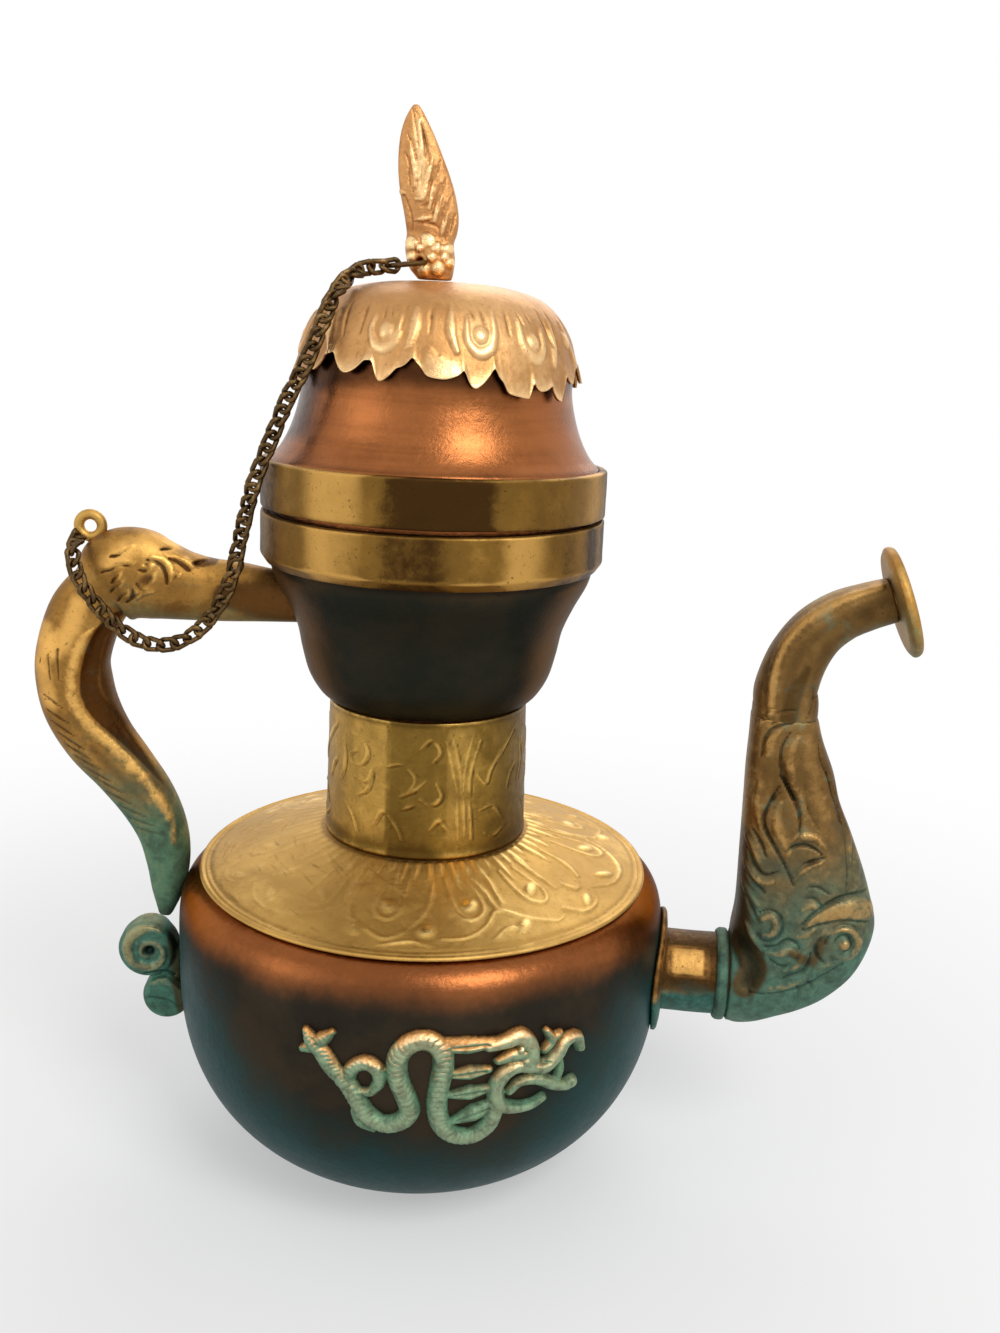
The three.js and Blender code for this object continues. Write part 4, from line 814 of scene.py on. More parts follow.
def collar_relief(azimuth, radius, height):
    """Leaves and stems, repeated three times, between two rims"""
    near = wrapped(azimuth, 120)
    u = np.radians(near) * COLLAR + 0 * height
    r = Relief(u, height + 0 * near)
    for line in COLLAR_LINES:
        points = unrolled(line, COLLAR)
        r.ridge(points, 0.72, 0.24, (0.5, 0.5), 1.0)
        r.groove(shifted(points, 1.0, -0.4), 0.6, 0.2)
    rims = 0.2 * step(height, 125.4, 126.2) + 0.15 * (1 - step(height, 92.2, 93.0))
    # Brighter and olive bands by azimuth are painted reflections. The collar is also darker at its foot and
    # just under its top rim
    angle = wrapped(azimuth)
    bright = between(angle, (-95, -60), (-24, -20)) + 0.8 * between(angle, (8, 13), (24, 32))
    olive_reflection = 0.5 * between(angle, (28, 60), (100, 140)) + 0.35 * between(angle, (-22, -19), (2, 9))
    r.stain_and_shade += olive_reflection - 0.45 * bright + 0.5 * (1 - step(height, 91.5, 97)) + 0.4 * step(height, 124.5, 126.5)
    return r.height + rims, r.stain_and_shade


def add_collar():
    outside = densified([(NECK_FOOT - 0.15, 91.3), (NECK_TOP - 0.1, 126.6)], 0.45)
    inside = [(NECK_HOLE, 126.6), (NECK_HOLE, 91.3)]
    collar = revolve("neck_sleeve", outside, densified(inside, 9), 400, collar_relief)
    dress(collar, COLLAR_BRASS, "vessel", "sheet_brass", "neck_collar")


def add_cup():
    spread = CUP_RIM - NECK_HOLE
    points = [(NECK_HOLE + out * spread, CUP_Z + up * (RIM_Z - CUP_Z)) for out, up in CUP_SHARES]
    wall = smooth_line(points[:-1], 60).tolist() + [points[-1]]
    outside = densified(wall, 1.6)
    inside = outside - outward(outside) * SHEET

    def reflections_and_dark_ends(azimuth, radius, height):
        # Painted reflections, brighter at the sides and back, and darker at the foot and just under the
        # band
        sides = sum(hump(wrapped(azimuth - at), 20) for at in (-68, 68, 180))
        ends = 0.5 * (1 - step(height, 127, 131)) + 0.7 * step(height, 160, 162.4)
        return 0 * azimuth, ends - 1.1 * sides

    cup = revolve("cup", outside, densified(inside[::-1], 4), 176, reflections_and_dark_ends)
    dress(cup, DARK_COPPER, "vessel", "dark_copper", "mouth_cup")


# Stains round each band as (azimuth, half width, amount); where the amount is below 0 the band is
# brightened, a painted reflection
LID_BAND_STAINS_AND_REFLECTIONS = [
    (-78, 13, 0.65), (-50, 8, -0.3), (-32, 11, -0.8), (-2, 11, 1.0), (12, 6, 0.5), (38, 12, -0.15),
    (63, 7, -0.6), (84, 8, 0.7), (128, 22, 0.5), (170, 18, -0.5), (214, 18, 0.5), (248, 12, -0.5),
]
CUP_BAND_STAINS_AND_REFLECTIONS = [
    (-80, 12, 0.35), (-58, 8, 0.1), (-34, 12, -0.7), (-6, 10, 0.45), (14, 5, -0.3), (30, 8, -0.8),
    (46, 5, 0.1), (62, 5, 0.55), (80, 9, 0.6), (120, 20, -0.5), (165, 18, 0.5), (210, 20, -0.4),
    (250, 14, 0.4),
]


def dented(azimuth, height, stains):
    """Slight unevenness of a band beaten round by hand, and its stains and painted reflections, as
    (azimuth, half width, amount)
    """
    a = np.radians(azimuth)
    lift = 0.05 * np.sin(3 * a + 1) + 0.04 * np.sin(7 * a + height * 0.3) + 0.02 * np.sin(19 * a - height)
    stain_and_shade = sum(amount * hump(wrapped(azimuth - at), half) for at, half, amount in stains)
    return lift, 1.25 * stain_and_shade + 0.12 * np.sin(23 * a + 1.3) + 0.16 + 0 * height


def band(name, bottom, top, chamfer, stains):
    inner = CUP_RIM + 0.3
    foot = [(inner, bottom), (inner + 0.5, bottom), (RIM - 0.1, bottom + chamfer)]
    if not chamfer:
        foot = [(inner, bottom), (RIM - 0.35, bottom), (RIM - 0.1, bottom + 0.3)]
    line = foot + [(RIM - 0.1, top - 0.4), (RIM - 0.5, top), (inner, top)]
    line = densified(rounded(line, 0.3), 0.6)

    def beaten(azimuth, radius, height):
        lift, stain_and_shade = dented(azimuth, height, stains)
        # A dark line along the foot, painted highlights along the top edge and the top of the chamfer, and
        # a darker inner face, a painted shade
        edges = 0.3 * hump(height - bottom, 0.7) - 0.5 * hump(height - top, 0.4)
        edges = edges - 0.6 * hump(height - bottom - chamfer, 0.35) * (chamfer > 0)
        return lift * (radius > inner + 0.5), stain_and_shade + edges + 0.8 * (radius < inner + 0.4)

    return revolve(name, line, [], 320, beaten)


def add_bands():
    cup_band = band("cup_band", 162.6, RIM_Z, 2.1, CUP_BAND_STAINS_AND_REFLECTIONS)
    dress(cup_band, BAND_BRASS, "vessel", "sheet_brass", "cup_rim_band")
    lid_band = tipped(band("lid_band", SEAT_Z, SEAT_Z + BAND_TALL, 0, LID_BAND_STAINS_AND_REFLECTIONS))
    dress(lid_band, BAND_BRASS, "lid", "sheet_brass", "lid_rim_band")


# Lid

CAP_EDGE = [
    (-60, 210.6), (-55.5, 208.4), (-49.2, 212.0), (-43.9, 213.0), (-36.2, 208.4), (-28.9, 211.4),
    (-25.3, 211.6), (-21.8, 207.0), (-15.7, 210.2), (-9.7, 213.0), (-6.7, 211.0), (-4.0, 208.8),
    (1.7, 208.3), (8.0, 209.6), (9.5, 211.1), (13.5, 206.6), (21.6, 211.8), (25.3, 208.4), (27.4, 205.8),
    (36.2, 204.9), (38.2, 209.3), (41.6, 206.6), (48.4, 208.2), (54.5, 204.4), (60, 210.6),
]
CAP_RIDGES = [
    [(-27.8, 221.5), (-28.3, 218.3), (-24.8, 214.9), (-20.1, 214.8), (-16.8, 217.5), (-15.6, 222)],
    [(11.2, 221.5), (11.2, 217.1), (15.3, 214.3), (20.2, 215.4), (22.4, 219), (22.8, 223)],
    [(35.5, 222), (35.6, 217), (40.8, 213.4), (46, 215.4), (47.4, 220)],
    [(-10, 225), (-10.4, 219), (-12, 215)], [(5, 225), (4.6, 219), (7, 214.4)],
    [(-52, 222), (-50, 217), (-47, 213.4)], [(56, 222), (54, 217), (52, 212)],
]
CAP_GROOVES = [
    [(-15.0, 225.1), (-15.4, 218.6)], [(-3.6, 225.3), (-3.7, 218.2)], [(17.4, 225.5), (19.2, 219.9)],
    [(-45.4, 224.6), (-41.7, 216.7)], [(-22, 224.8), (-20.6, 221.6)], [(-25, 224.4), (-23.6, 221)],
    [(51, 224), (53, 216)], [(30, 225), (29.4, 218.5)], [(36, 224.6), (38, 220.8)],
    [(41, 224.8), (42.6, 221.4)], [(-34, 225), (-33.4, 217.5)], [(58.6, 224), (58, 215)],
    [(12.6, 225), (14.6, 221.6)],
]


# The leaf cap: the radius its lines are laid flat at, where its top turns down, and its gap to the lid
CAP, CAP_TURN_Z, CAP_GAP = 34, 221.0, 1.45
CAP_BOSSES = [(-21.6, 218.2), (16.6, 218.2), (41.0, 217.2), (-53, 218)]
FOLDED_LEAF = [(-4.0, 213.8), (-2.0, 211.6), (3.5, 210.4)]


def lobed(azimuth):
    """The skirt's lower edge: round leaf tips, some blunter than others, with sharp notches between"""
    at, height = np.array(CAP_EDGE).T
    k = np.clip(np.searchsorted(at, azimuth, "right") - 1, 0, len(at) - 2)
    share = (azimuth - at[k]) / (at[k + 1] - at[k])
    first, last = height[k], height[k + 1]
    share = np.where(first < last, share, 1 - share)
    return np.minimum(first, last) + np.abs(last - first) * share ** (1.3 + 0.9 * np.mod(k * 0.618, 1))


def add_cap():
    columns, above, below = 560, 43, 43
    azimuth = azimuths(columns)
    near = wrapped(azimuth, 120)
    edge = lobed(near) - 0.5 * np.sin(np.radians(azimuth))
    edge = sum(np.roll(edge, k) for k in (-1, 0, 1)) / 3
    line = lid_line(7, CAP_GAP)
    crown = smooth_line(line[line[:, 1] > CAP_TURN_Z][::-1], above)
    side = lid_line(4, CAP_GAP)
    share = np.linspace(0, 1, below)[:, None]
    skirt = CAP_TURN_Z + (edge[None, :] - CAP_TURN_Z) * share
    height = np.vstack([np.repeat(crown[:, 1:], columns, 1), skirt])
    radius = np.interp(height, side[:, 1], side[:, 0])
    radius[:above + 1] = crown[:, :1]
    low = np.vstack([np.zeros((above + 1, 1)), share])
    sides = Relief(np.radians(near)[None, :] * CAP, height)
    for line in CAP_RIDGES:
        sides.ridge(unrolled(line, CAP), 1.5, 0.55, (0.4, 0.5), 0.8)
    for line in CAP_GROOVES:
        sides.groove(unrolled(line, CAP), 0.8, 0.45, (1, 0.3))
    for at in CAP_BOSSES:
        sides.ridge(unrolled([at], CAP), 2.3, 0.75, power=1.1)
    sides.ridge(unrolled(FOLDED_LEAF, CAP), 3.0, 0.35, (0.5, 0.9), 0.5)
    lift = sides.height * step(-height, -226.0, -221.5)
    curl = 0.75 + 0.25 * np.sin(np.radians(azimuth * 9 + 40))[None, :]
    lift += 0.3 * low ** 2 + 0.75 * curl * low ** 7
    spread = np.gradient(edge)[None, :]
    lift -= 0.25 * low ** 2 * np.clip(np.abs(spread) * 1.75, 0, 1)
    a = np.radians(azimuth)[None, :]

    def placed(rho, z):
        return np.stack([rho * np.sin(a), -rho * np.cos(a), z + 0 * a], -1)

    lean = np.interp(height, [205, 216, 224, 230.5], [1, 1, 0.75, 0])
    # The skirt darkens downwards, with a painted highlight on its curled rim and lighter raised lines;
    # painted shade on the left and a painted highlight on the front right
    stain_and_shade = 0.3 * low ** 2 - 0.5 * low ** 9 - 0.2 * step(sides.height, 0.1, 0.6)
    stain_and_shade = stain_and_shade + 0.3 * step(towards(azimuth, -75), 0.4, 1) - 0.35 * step(towards(azimuth, 30), 0.8, 1)
    stain_and_shade = stain_and_shade + 0 * lift
    outer = placed(radius + lift * lean, height + lift * (1 - lean) * 0.8)
    inner = placed(np.maximum(radius - 0.75 * lean + lift * lean * 0.8, 0), height - 0.75 * (1 - lean))
    points = np.concatenate([outer, inner[::-1]]).reshape(-1, 3)
    # The underside is marked low and fully stained: painted shade under the leaves
    values = np.concatenate([lift, lift[::-1] * 0 - 0.4])
    stains = np.concatenate([stain_and_shade, stain_and_shade[::-1] * 0 + 1])
    cap = tipped(add_mesh("leaf_cap_skin", points, grid_faces(2 * len(height), columns), values, stains))
    dress(cap, PALE_BRASS, "lid", "pale_brass", "leaf_cap")


def add_lid():
    foot = [(CUP_RIM, SEAT_Z), (CUP_RIM, SEAT_Z + BAND_TALL)]
    line = foot + lid_line(1, 0, 70)[1:].tolist()
    outside = densified(line, 1.4)
    inside = lid_line(1, -SHEET, 40)
    inside = np.vstack([[CUP_RIM - SHEET, SEAT_Z], inside[inside[:, 1] > SEAT_Z]])

    def dome_light_and_shade(azimuth, radius, height):
        # Painted dark reflections on the left and at the back, a painted highlight on the front right,
        # painted shadow under the leaf cap's skirt, and a dark line at the dome's foot
        dark_reflection = hump(wrapped(azimuth + 72), 24) + 0.7 * hump(wrapped(azimuth - 150), 22)
        pale = hump(wrapped(azimuth - 30), 16) * step(height, 189, 196) * step(-height, -206, -198)
        foot = hump(height - 187.6, 0.8)
        darkening = 1.1 * dark_reflection * step(height, 188, 196) + 0.9 * step(height, 203, 209) + 0.5 * foot
        return 0 * azimuth, darkening - 0.5 * pale

    lid = tipped(revolve("lid_dome", outside, inside[::-1], 176, dome_light_and_shade))
    dress(lid, LID_COPPER, "lid", "copper", "lid_shell")


# Finial, ring and chain

FINIAL_SLICES = [
    (230.9, -5.6, 2.4, 2.9), (232.0, -6.6, 2.8, 3.2), (233.4, -7.8, 3.0, 3.6), (235.6, -8.6, 3.2, 3.9),
    (238.0, -9.0, 2.9, 3.8), (239.6, -8.9, 2.8, 3.2), (241.4, -8.7, 3.4, 2.6), (244.0, -9.1, 3.8, 2.4),
    (247.0, -9.7, 3.6, 2.4), (251.0, -10.6, 2.7, 2.2), (255.0, -11.1, 1.3, 2.0),
    (259.0, -11.2, -0.4, 1.8), (263.0, -10.9, -2.2, 1.6), (266.4, -10.1, -4.0, 1.3),
    (269.0, -8.9, -5.5, 0.9), (270.5, -7.9, -6.6, 0.5),
]
FEATHER_GROOVES = [
    [(-7.1, 268.7), (-5.4, 264.1), (-4.6, 258.6)], [(-9.1, 264.0), (-6.5, 257.3), (-6.7, 251.3)],
    [(-9.4, 259.5), (-7.7, 254.9), (-7.3, 250.7)], [(-8.0, 269.3), (-7.0, 264.9), (-6.2, 261)],
    [(-9.5, 250.0), (-8.1, 247.0), (-7.4, 244.0), (-7.4, 242.2)],
    [(-10.6, 248.4), (-9.7, 245.1), (-9.3, 242.1)], [(-5.4, 240.2), (-4.4, 236.5), (-3.0, 234.7)],
    [(-6.4, 238.6), (-6.3, 235.5)], [(-0.3, 239.8), (-0.5, 235.8)],
    [(-6.6, 262), (-5.8, 257), (-5.6, 253)], [(-5.8, 266), (-4.4, 261), (-3.6, 257)],
    [(-8.6, 256), (-8.2, 252.4)], [(-2.2, 256.8), (-3.3, 252.6), (-3.8, 248.4)],
    [(-0.8, 252.8), (-2.0, 249), (-2.6, 245.6)], [(0.6, 248.6), (-0.4, 245.6), (-1.0, 242.6)],
    [(1.8, 244.8), (1.2, 242.4), (0.8, 240.6)], [(-5.2, 247.6), (-3.6, 248.4)],
    [(-6.9, 244.0), (-3.6, 243.8), (-1, 243)],
]
FEATHER_RIDGES = [
    [(-3.0, 258.6), (-3.9, 255.0), (-4.4, 250.8)], [(-1.7, 255.1), (-2.8, 251.5), (-3.4, 247.2)],
    [(-0.6, 250.4), (-1.5, 247.3), (-2.0, 244.3)], [(0.8, 246.5), (0.2, 243.8), (-0.3, 241.3)],
    [(-4.5, 253.2), (-5.0, 249.6), (-6.6, 249.2)], [(-6.8, 244.4), (-3.3, 245.1)],
    [(-11, 251), (-9.6, 250.4)], [(-6.4, 267), (-5.8, 261), (-6.4, 254)],
    [(-8.4, 262), (-7.4, 257), (-7.2, 252)],
]
FEATHER_GROOVES += [shifted(line, 1.1, 1.3) for line in FEATHER_GROOVES[12:16]]
FINIAL_LUMPS = [
    (-7.4, 239.0, 1.9), (-3.6, 240.0, 2.0), (-1.2, 238.2, 1.6), (1.4, 238.0, 1.5), (-4.2, 232.8, 1.6),
    (-0.9, 233.2, 1.8), (-7.4, 235.6, 1.7), (1.9, 234.8, 1.4), (-2.6, 235.8, 1.3), (0.6, 236.0, 1.2),
    (-5.4, 238.0, 1.2),
]


def draw_finial(relief):
    """Strokes like a feather's, and small lumps below them, with painted shade in a deep hollow and in a
    band above the lumps, and a painted highlight down the feathers
    """
    for line in FEATHER_RIDGES:
        relief.ridge(line, 0.85, 0.5, (0.4, 0.6), 0.7)
    for x, z, size in FINIAL_LUMPS:
        relief.ridge([(x, z)], size, 0.75, power=0.9)
    for line in FEATHER_GROOVES:
        relief.groove(line, 0.55, 0.34, (0.5, 0.5))
    relief.groove([(-5.3, 234.9)], 1.1, 1.6, (1, 1))
    relief.shade([(-5.3, 234.9)], 2.2, 1.0)
    relief.shade([(-9, 243), (-4, 242), (1, 241)], 1.8, 0.6)
    relief.shade([(-6.5, 266), (-6, 258), (-5.5, 251)], 2.4, -0.5)


def add_finial():
    finial = fused("finial_leaf", [stacked(cast_in_slices(FINIAL_SLICES, 90, 40, 2.2))], 0.3, 2)
    carved(finial, draw_finial, (0.1, 0.6), 0.9)
    dress(tipped(finial), ROSY_BRASS, "lid", "pale_brass", "finial")


PITCH = 3.25
LINK = {"Length": 4.75 * MM, "Width": 2.85 * MM, "Wire": 0.62 * MM, "Twist": 1.5}


def torus(name, radius, wire, sides=14, steps=56):
    angle = np.linspace(0, 2 * np.pi, steps, endpoint=False)
    turn = np.linspace(0, 2 * np.pi, sides, endpoint=False)
    a, t = np.meshgrid(angle, turn, indexing="ij")
    points = np.stack([(radius + wire * np.cos(t)) * np.cos(a), (radius + wire * np.cos(t)) * np.sin(a),
                       wire * np.sin(t)], -1).reshape(-1, 3)
    return add_mesh(name, points, grid_faces(steps, sides, True))


def fitted_axes(node):
    """A thin node's middle, and the directions of its length, width and thickness"""
    points = np.array([v.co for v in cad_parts[node].data.vertices], float)
    middle = points.mean(0)
    _, _, axes = np.linalg.svd(points - middle)
    return middle, axes


def add_ring():
    middle, axes = fitted_axes("finial_ring")
    ring = torus("wire_ring", 4.6, 0.575)
    turn = Matrix([[*axes[0]], [*axes[1]], [*np.cross(axes[0], axes[1])]]).transposed().to_4x4()
    ring.data.transform(Matrix.Translation(middle) @ turn)
    dress(ring, BRONZE, "lid", "bronze", "finial_ring")


def link_group():
    """Nodes that put one twisted wire link on every point, along the point's own directions"""
    group = bpy.data.node_groups.new("wire_links", "GeometryNodeTree")
    face = group.interface
    face.new_socket("Geometry", in_out="INPUT", socket_type="NodeSocketGeometry")
    for name in ("Length", "Width", "Wire", "Twist"):
        face.new_socket(name, in_out="INPUT", socket_type="NodeSocketFloat")
    face.new_socket("Finish", in_out="INPUT", socket_type="NodeSocketMaterial")
    face.new_socket("Geometry", in_out="OUTPUT", socket_type="NodeSocketGeometry")
    tree = group.nodes

    def node(kind, settings=None, values=None):
        made = tree.new(kind)
        for key, value in (settings or {}).items():
            setattr(made, key, value)
        for key, value in (values or {}).items():
            if isinstance(value, bpy.types.NodeSocket):
                group.links.new(value, made.inputs[key])
            else:
                made.inputs[key].default_value = value
        return made

    def sum_of(operation, first, second):
        return node("ShaderNodeMath", {"operation": operation}, {0: first, 1: second}).outputs[0]

    given = node("NodeGroupInput")
    half_width = sum_of("MULTIPLY", given.outputs["Width"], 0.5)
    bend = node("GeometryNodeCurvePrimitiveCircle", {"mode": "RADIUS"}, {
        "Resolution": 28, "Radius": half_width})
    place = node("GeometryNodeInputPosition")
    parts = node("ShaderNodeSeparateXYZ", None, {0: place.outputs[0]})
    sign = sum_of("SIGN", parts.outputs[0], 0.0)
    stretch = sum_of("MULTIPLY", sum_of("SUBTRACT", given.outputs["Length"], given.outputs["Width"]), 0.5)
    shift = node("ShaderNodeCombineXYZ", None, {0: sum_of("MULTIPLY", sign, stretch)})
    moved = node("ShaderNodeVectorMath", {"operation": "ADD"}, {0: place.outputs[0], 1: shift.outputs[0]})
    share = sum_of("DIVIDE", node("ShaderNodeSeparateXYZ", None, {0: moved.outputs[0]}).outputs[0],
                   given.outputs["Length"])
    twisted = node("ShaderNodeVectorRotate", {"rotation_type": "X_AXIS"}, {
        "Vector": moved.outputs[0], "Angle": sum_of("MULTIPLY", share, given.outputs["Twist"])})
    drawn = node("GeometryNodeSetPosition", None, {
        "Geometry": bend.outputs[0], "Position": twisted.outputs[0]})
    wire = node("GeometryNodeCurvePrimitiveCircle", {"mode": "RADIUS"},
                {"Resolution": 12, "Radius": given.outputs["Wire"]})
    link = node("GeometryNodeCurveToMesh", None, {
        "Curve": drawn.outputs[0], "Profile Curve": wire.outputs[0]})
    attributes = []
    for name in ("along", "facing"):
        made = node("GeometryNodeInputNamedAttribute", {"data_type": "FLOAT_VECTOR"}, {"Name": name})
        attributes.append(made.outputs["Attribute"])
    turn = node("FunctionNodeAxesToRotation", {"primary_axis": "X", "secondary_axis": "Z"},
                {0: attributes[0], 1: attributes[1]})
    placed = node("GeometryNodeInstanceOnPoints", None, {
        "Points": given.outputs["Geometry"], "Instance": link.outputs[0], "Rotation": turn.outputs[0]})
    real = node("GeometryNodeRealizeInstances", None, {0: placed.outputs[0]})
    smooth = node("GeometryNodeSetShadeSmooth", None, {0: real.outputs[0]})
    finish = node("GeometryNodeSetMaterial", None, {
        0: smooth.outputs[0], "Material": given.outputs["Finish"]})
    node("NodeGroupOutput", None, {0: finish.outputs[0]})
    return group


def add_chain(group, name, body, first, last):
    """One run of curb links along the middles of the nodes that it stands for"""
    nodes = [f"chain_link_{k:02d}" for k in range(first, last + 1)]
    route = smooth_line([fitted_axes(node)[0] / MM for node in nodes], 600)
    lengths = np.concatenate([[0], np.cumsum(np.linalg.norm(np.diff(route, axis=0), axis=1))])
    overhang = 0.6 * PITCH
    count = int(round((lengths[-1] + 2 * overhang) / PITCH))
    at = np.linspace(-overhang, lengths[-1] + overhang, count)
    points = np.stack([np.interp(at, lengths, route[:, k]) for k in range(3)], -1)
    for end, inner, k in ((0, 1, at < 0), (-1, -2, at > lengths[-1])):
        way = (route[end] - route[inner]) / np.linalg.norm(route[end] - route[inner])
        beyond = np.maximum(-at, at - lengths[-1])[k]
        points[k] = route[end] + way * beyond[:, None]
    along = np.gradient(points, axis=0)
    along /= np.linalg.norm(along, axis=1)[:, None]
    number = np.arange(count)
    wobble = np.stack([0.35 * np.sin(1.9 * number), 0.0 * number - 1, 0.2 * np.cos(2.3 * number)], -1)
    facing = wobble - (wobble * along).sum(1)[:, None] * along
    mesh = bpy.data.meshes.new(name)
    mesh.from_pydata((points * MM).tolist(), [], [])
    for key, values in (("along", along), ("facing", facing)):
        layer = mesh.attributes.new(key, "FLOAT_VECTOR", "POINT")
        layer.data.foreach_set("vector", values.astype(np.float32).ravel())
    run = linked(name, mesh)
    modifier = run.modifiers.new("links", "NODES")
    modifier.node_group = group
    ids = {item.name: item.identifier for item in group.interface.items_tree
           if item.item_type == "SOCKET" and item.in_out == "INPUT"}
    for key, value in {**LINK, "Finish": BRONZE}.items():
        modifier[ids[key]] = value
    baked(run)
    tidy(run)
    dress(run, BRONZE, body, "bronze", *nodes)


# Handle

ARM_SHARES = [
    (0, -0.02, 0.48, 0.62), (0.186, 0.06, 0.57, 0.66), (0.31, 0.11, 0.634, 0.7),
    (0.426, 0.14, 0.665, 0.76), (0.536, 0.21, 0.735, 0.85), (0.638, 0.32, 0.855, 0.95),
    (0.728, 0.42, 0.97, 1), (0.822, 0.38, 0.93, 0.96), (0.906, 0.15, 0.63, 0.78),
    (0.986, -0.02, 0.35, 0.46),
]
GRIP_SHARES = [
    (0.527, 1, 0.9, 0.9), (0.642, 0.928, 0.96, 0.96), (0.727, 0.816, 0.97, 1), (0.724, 0.732, 1, 1),
    (0.678, 0.653, 0.99, 1), (0.566, 0.564, 0.93, 0.97), (0.399, 0.475, 0.84, 0.91),
    (0.24, 0.38, 0.776, 0.85), (0.137, 0.284, 0.69, 0.78), (0.1, 0.188, 0.6, 0.7),
    (0.108, 0.094, 0.44, 0.58), (0.13, 0.012, 0.18, 0.34),
]
ARM_GROOVES = [
    [(-65.6, 162.0), (-63.8, 161.4), (-61.9, 160.2), (-60.4, 158.8), (-59.5, 156.6), (-59.2, 154.0)],
    [(-70.6, 161.7), (-68.2, 161.1), (-66.6, 159.6), (-65.9, 157.4), (-66.0, 154.8), (-66.2, 152.8)],
    [(-79.7, 162.3), (-77.5, 162.9), (-75.4, 164.5)],
    [(-82.0, 158.3), (-79.5, 159.2), (-77.2, 160.4), (-74.9, 160.0)],
    [(-79.6, 155.6), (-78.6, 156.8), (-77.7, 157.7)], [(-79.9, 153.4), (-78.4, 154.7), (-77.4, 155.7)],
    [(-78.2, 151.1), (-77.0, 152.3), (-75.9, 153.5)], [(-76.1, 150.7), (-74.5, 151.9), (-72.8, 153.1)],
    [(-73.9, 150.5), (-72.2, 151.7), (-70.6, 152.7), (-68.6, 152.9)],
    [(-73.3, 155.8), (-72.7, 154.6), (-71.7, 153.6)], [(-71.6, 155.1), (-70.5, 155.9), (-69.6, 157.6)],
    [(-72.6, 159.4), (-71.5, 158.9), (-70.4, 159.8), (-71.0, 160.7)],
    [(-67.5, 164.1), (-65.3, 164.4), (-63.2, 165.1)], [(-60.9, 162.4), (-59.4, 163.2), (-57.3, 162.9)],
    [(-70.3, 150.2), (-68.7, 151.4), (-67.4, 152.3)], [(-63.9, 157.6), (-64.5, 155.1), (-65.4, 151.9)],
    [(-58.1, 155.0), (-58.2, 152.1)], [(-74.6, 154.3), (-74.2, 153.1), (-74.7, 151.9)],
]
NOTCH = [
    (-48.4, 159.1), (-43.1, 157.2), (-44.7, 154.6), (-47.3, 157.5), (-48.4, 159.1),
]
GRIP_LINES = [
    [(-97.7, 121.9), (-91.4, 118.4)], [(-95.1, 115.8), (-88.2, 111.6)], [(-91.2, 109.6), (-84.3, 106.0)],
    [(-86.2, 103.4), (-79.2, 99.8)], [(-80.5, 95.9), (-72.8, 92.9)], [(-75.9, 89.6), (-68.2, 87.8)],
    [(-96.6, 118.9), (-90.2, 115)], [(-93.2, 112.6), (-86.6, 108.8)], [(-88.8, 106.4), (-82, 102.8)],
    [(-83.4, 99.6), (-76.4, 96.4)], [(-78, 92.6), (-70.6, 90.4)], [(-98.4, 126), (-93, 122.6)],
    [(-93.5, 153.6), (-93.5, 149.8), (-92.7, 145.9)], [(-90.4, 150.3), (-92.2, 145.9)],
    [(-95.2, 147.7), (-96.5, 139.8), (-96.0, 129.9)], [(-92.5, 144.9), (-93.8, 137.4), (-93.6, 130.0)],
    [(-98.6, 141), (-98.8, 134)], [(-90, 144.6), (-91.6, 139)],
]
GRIP_RIDGE = [
    (-83.4, 146.0), (-87.4, 141.0), (-89.8, 135), (-90.9, 128), (-89.6, 122.6), (-86.4, 118.2),
    (-81.7, 113.6), (-76.0, 106.9), (-70.3, 98.7), (-66.9, 91.1), (-66.4, 85.9),
]


# The arm runs between two distances from the axis, above the line z = PARTING + PARTING_SLOPE x
ARM_START, ARM_END = 31.0, BELLY + 36.6 * 0.7
ARM_Z, ARM_RISE, ARM_HALF, ARM_DEPTH = 151.5, 12.3, 12.15, 8.5
PARTING, PARTING_SLOPE = 196.5, 0.62
GRIP_Z, GRIP_TALL, GRIP_OUT, GRIP_HALF, GRIP_DEPTH = 62, 89.5, 36.5, 9.6, 7.5
# Lines of painted shade as (line, half width, amount and, for some, end widths), with painted highlights
# where the amount is below 0
HANDLE_SHADES = [
    ([(-59.4, 160.4), (-55.0, 161.0)], 1.3, 0.9), ([(-71.6, 156.6), (-70.4, 157.4)], 1.6, 0.5),
    ([(-34, 151), (-44, 152), (-52, 153)], 9.0, 1.1, (1.2, 0.5)),
    ([(-40, 163), (-52, 165), (-60, 168)], 4.0, 0.5), ([(-78, 156), (-70, 155), (-60, 155)], 5.0, 0.35),
    ([(-97, 143), (-98, 133), (-96.5, 124)], 4.0, -0.6), ([(-88, 150), (-90, 144), (-94, 138)], 4.0, -0.7),
    ([(-80, 160), (-74, 165), (-66, 164)], 4.5, -0.6), ([(-86, 112), (-80, 105), (-74, 98)], 2.2, 0.5),
]


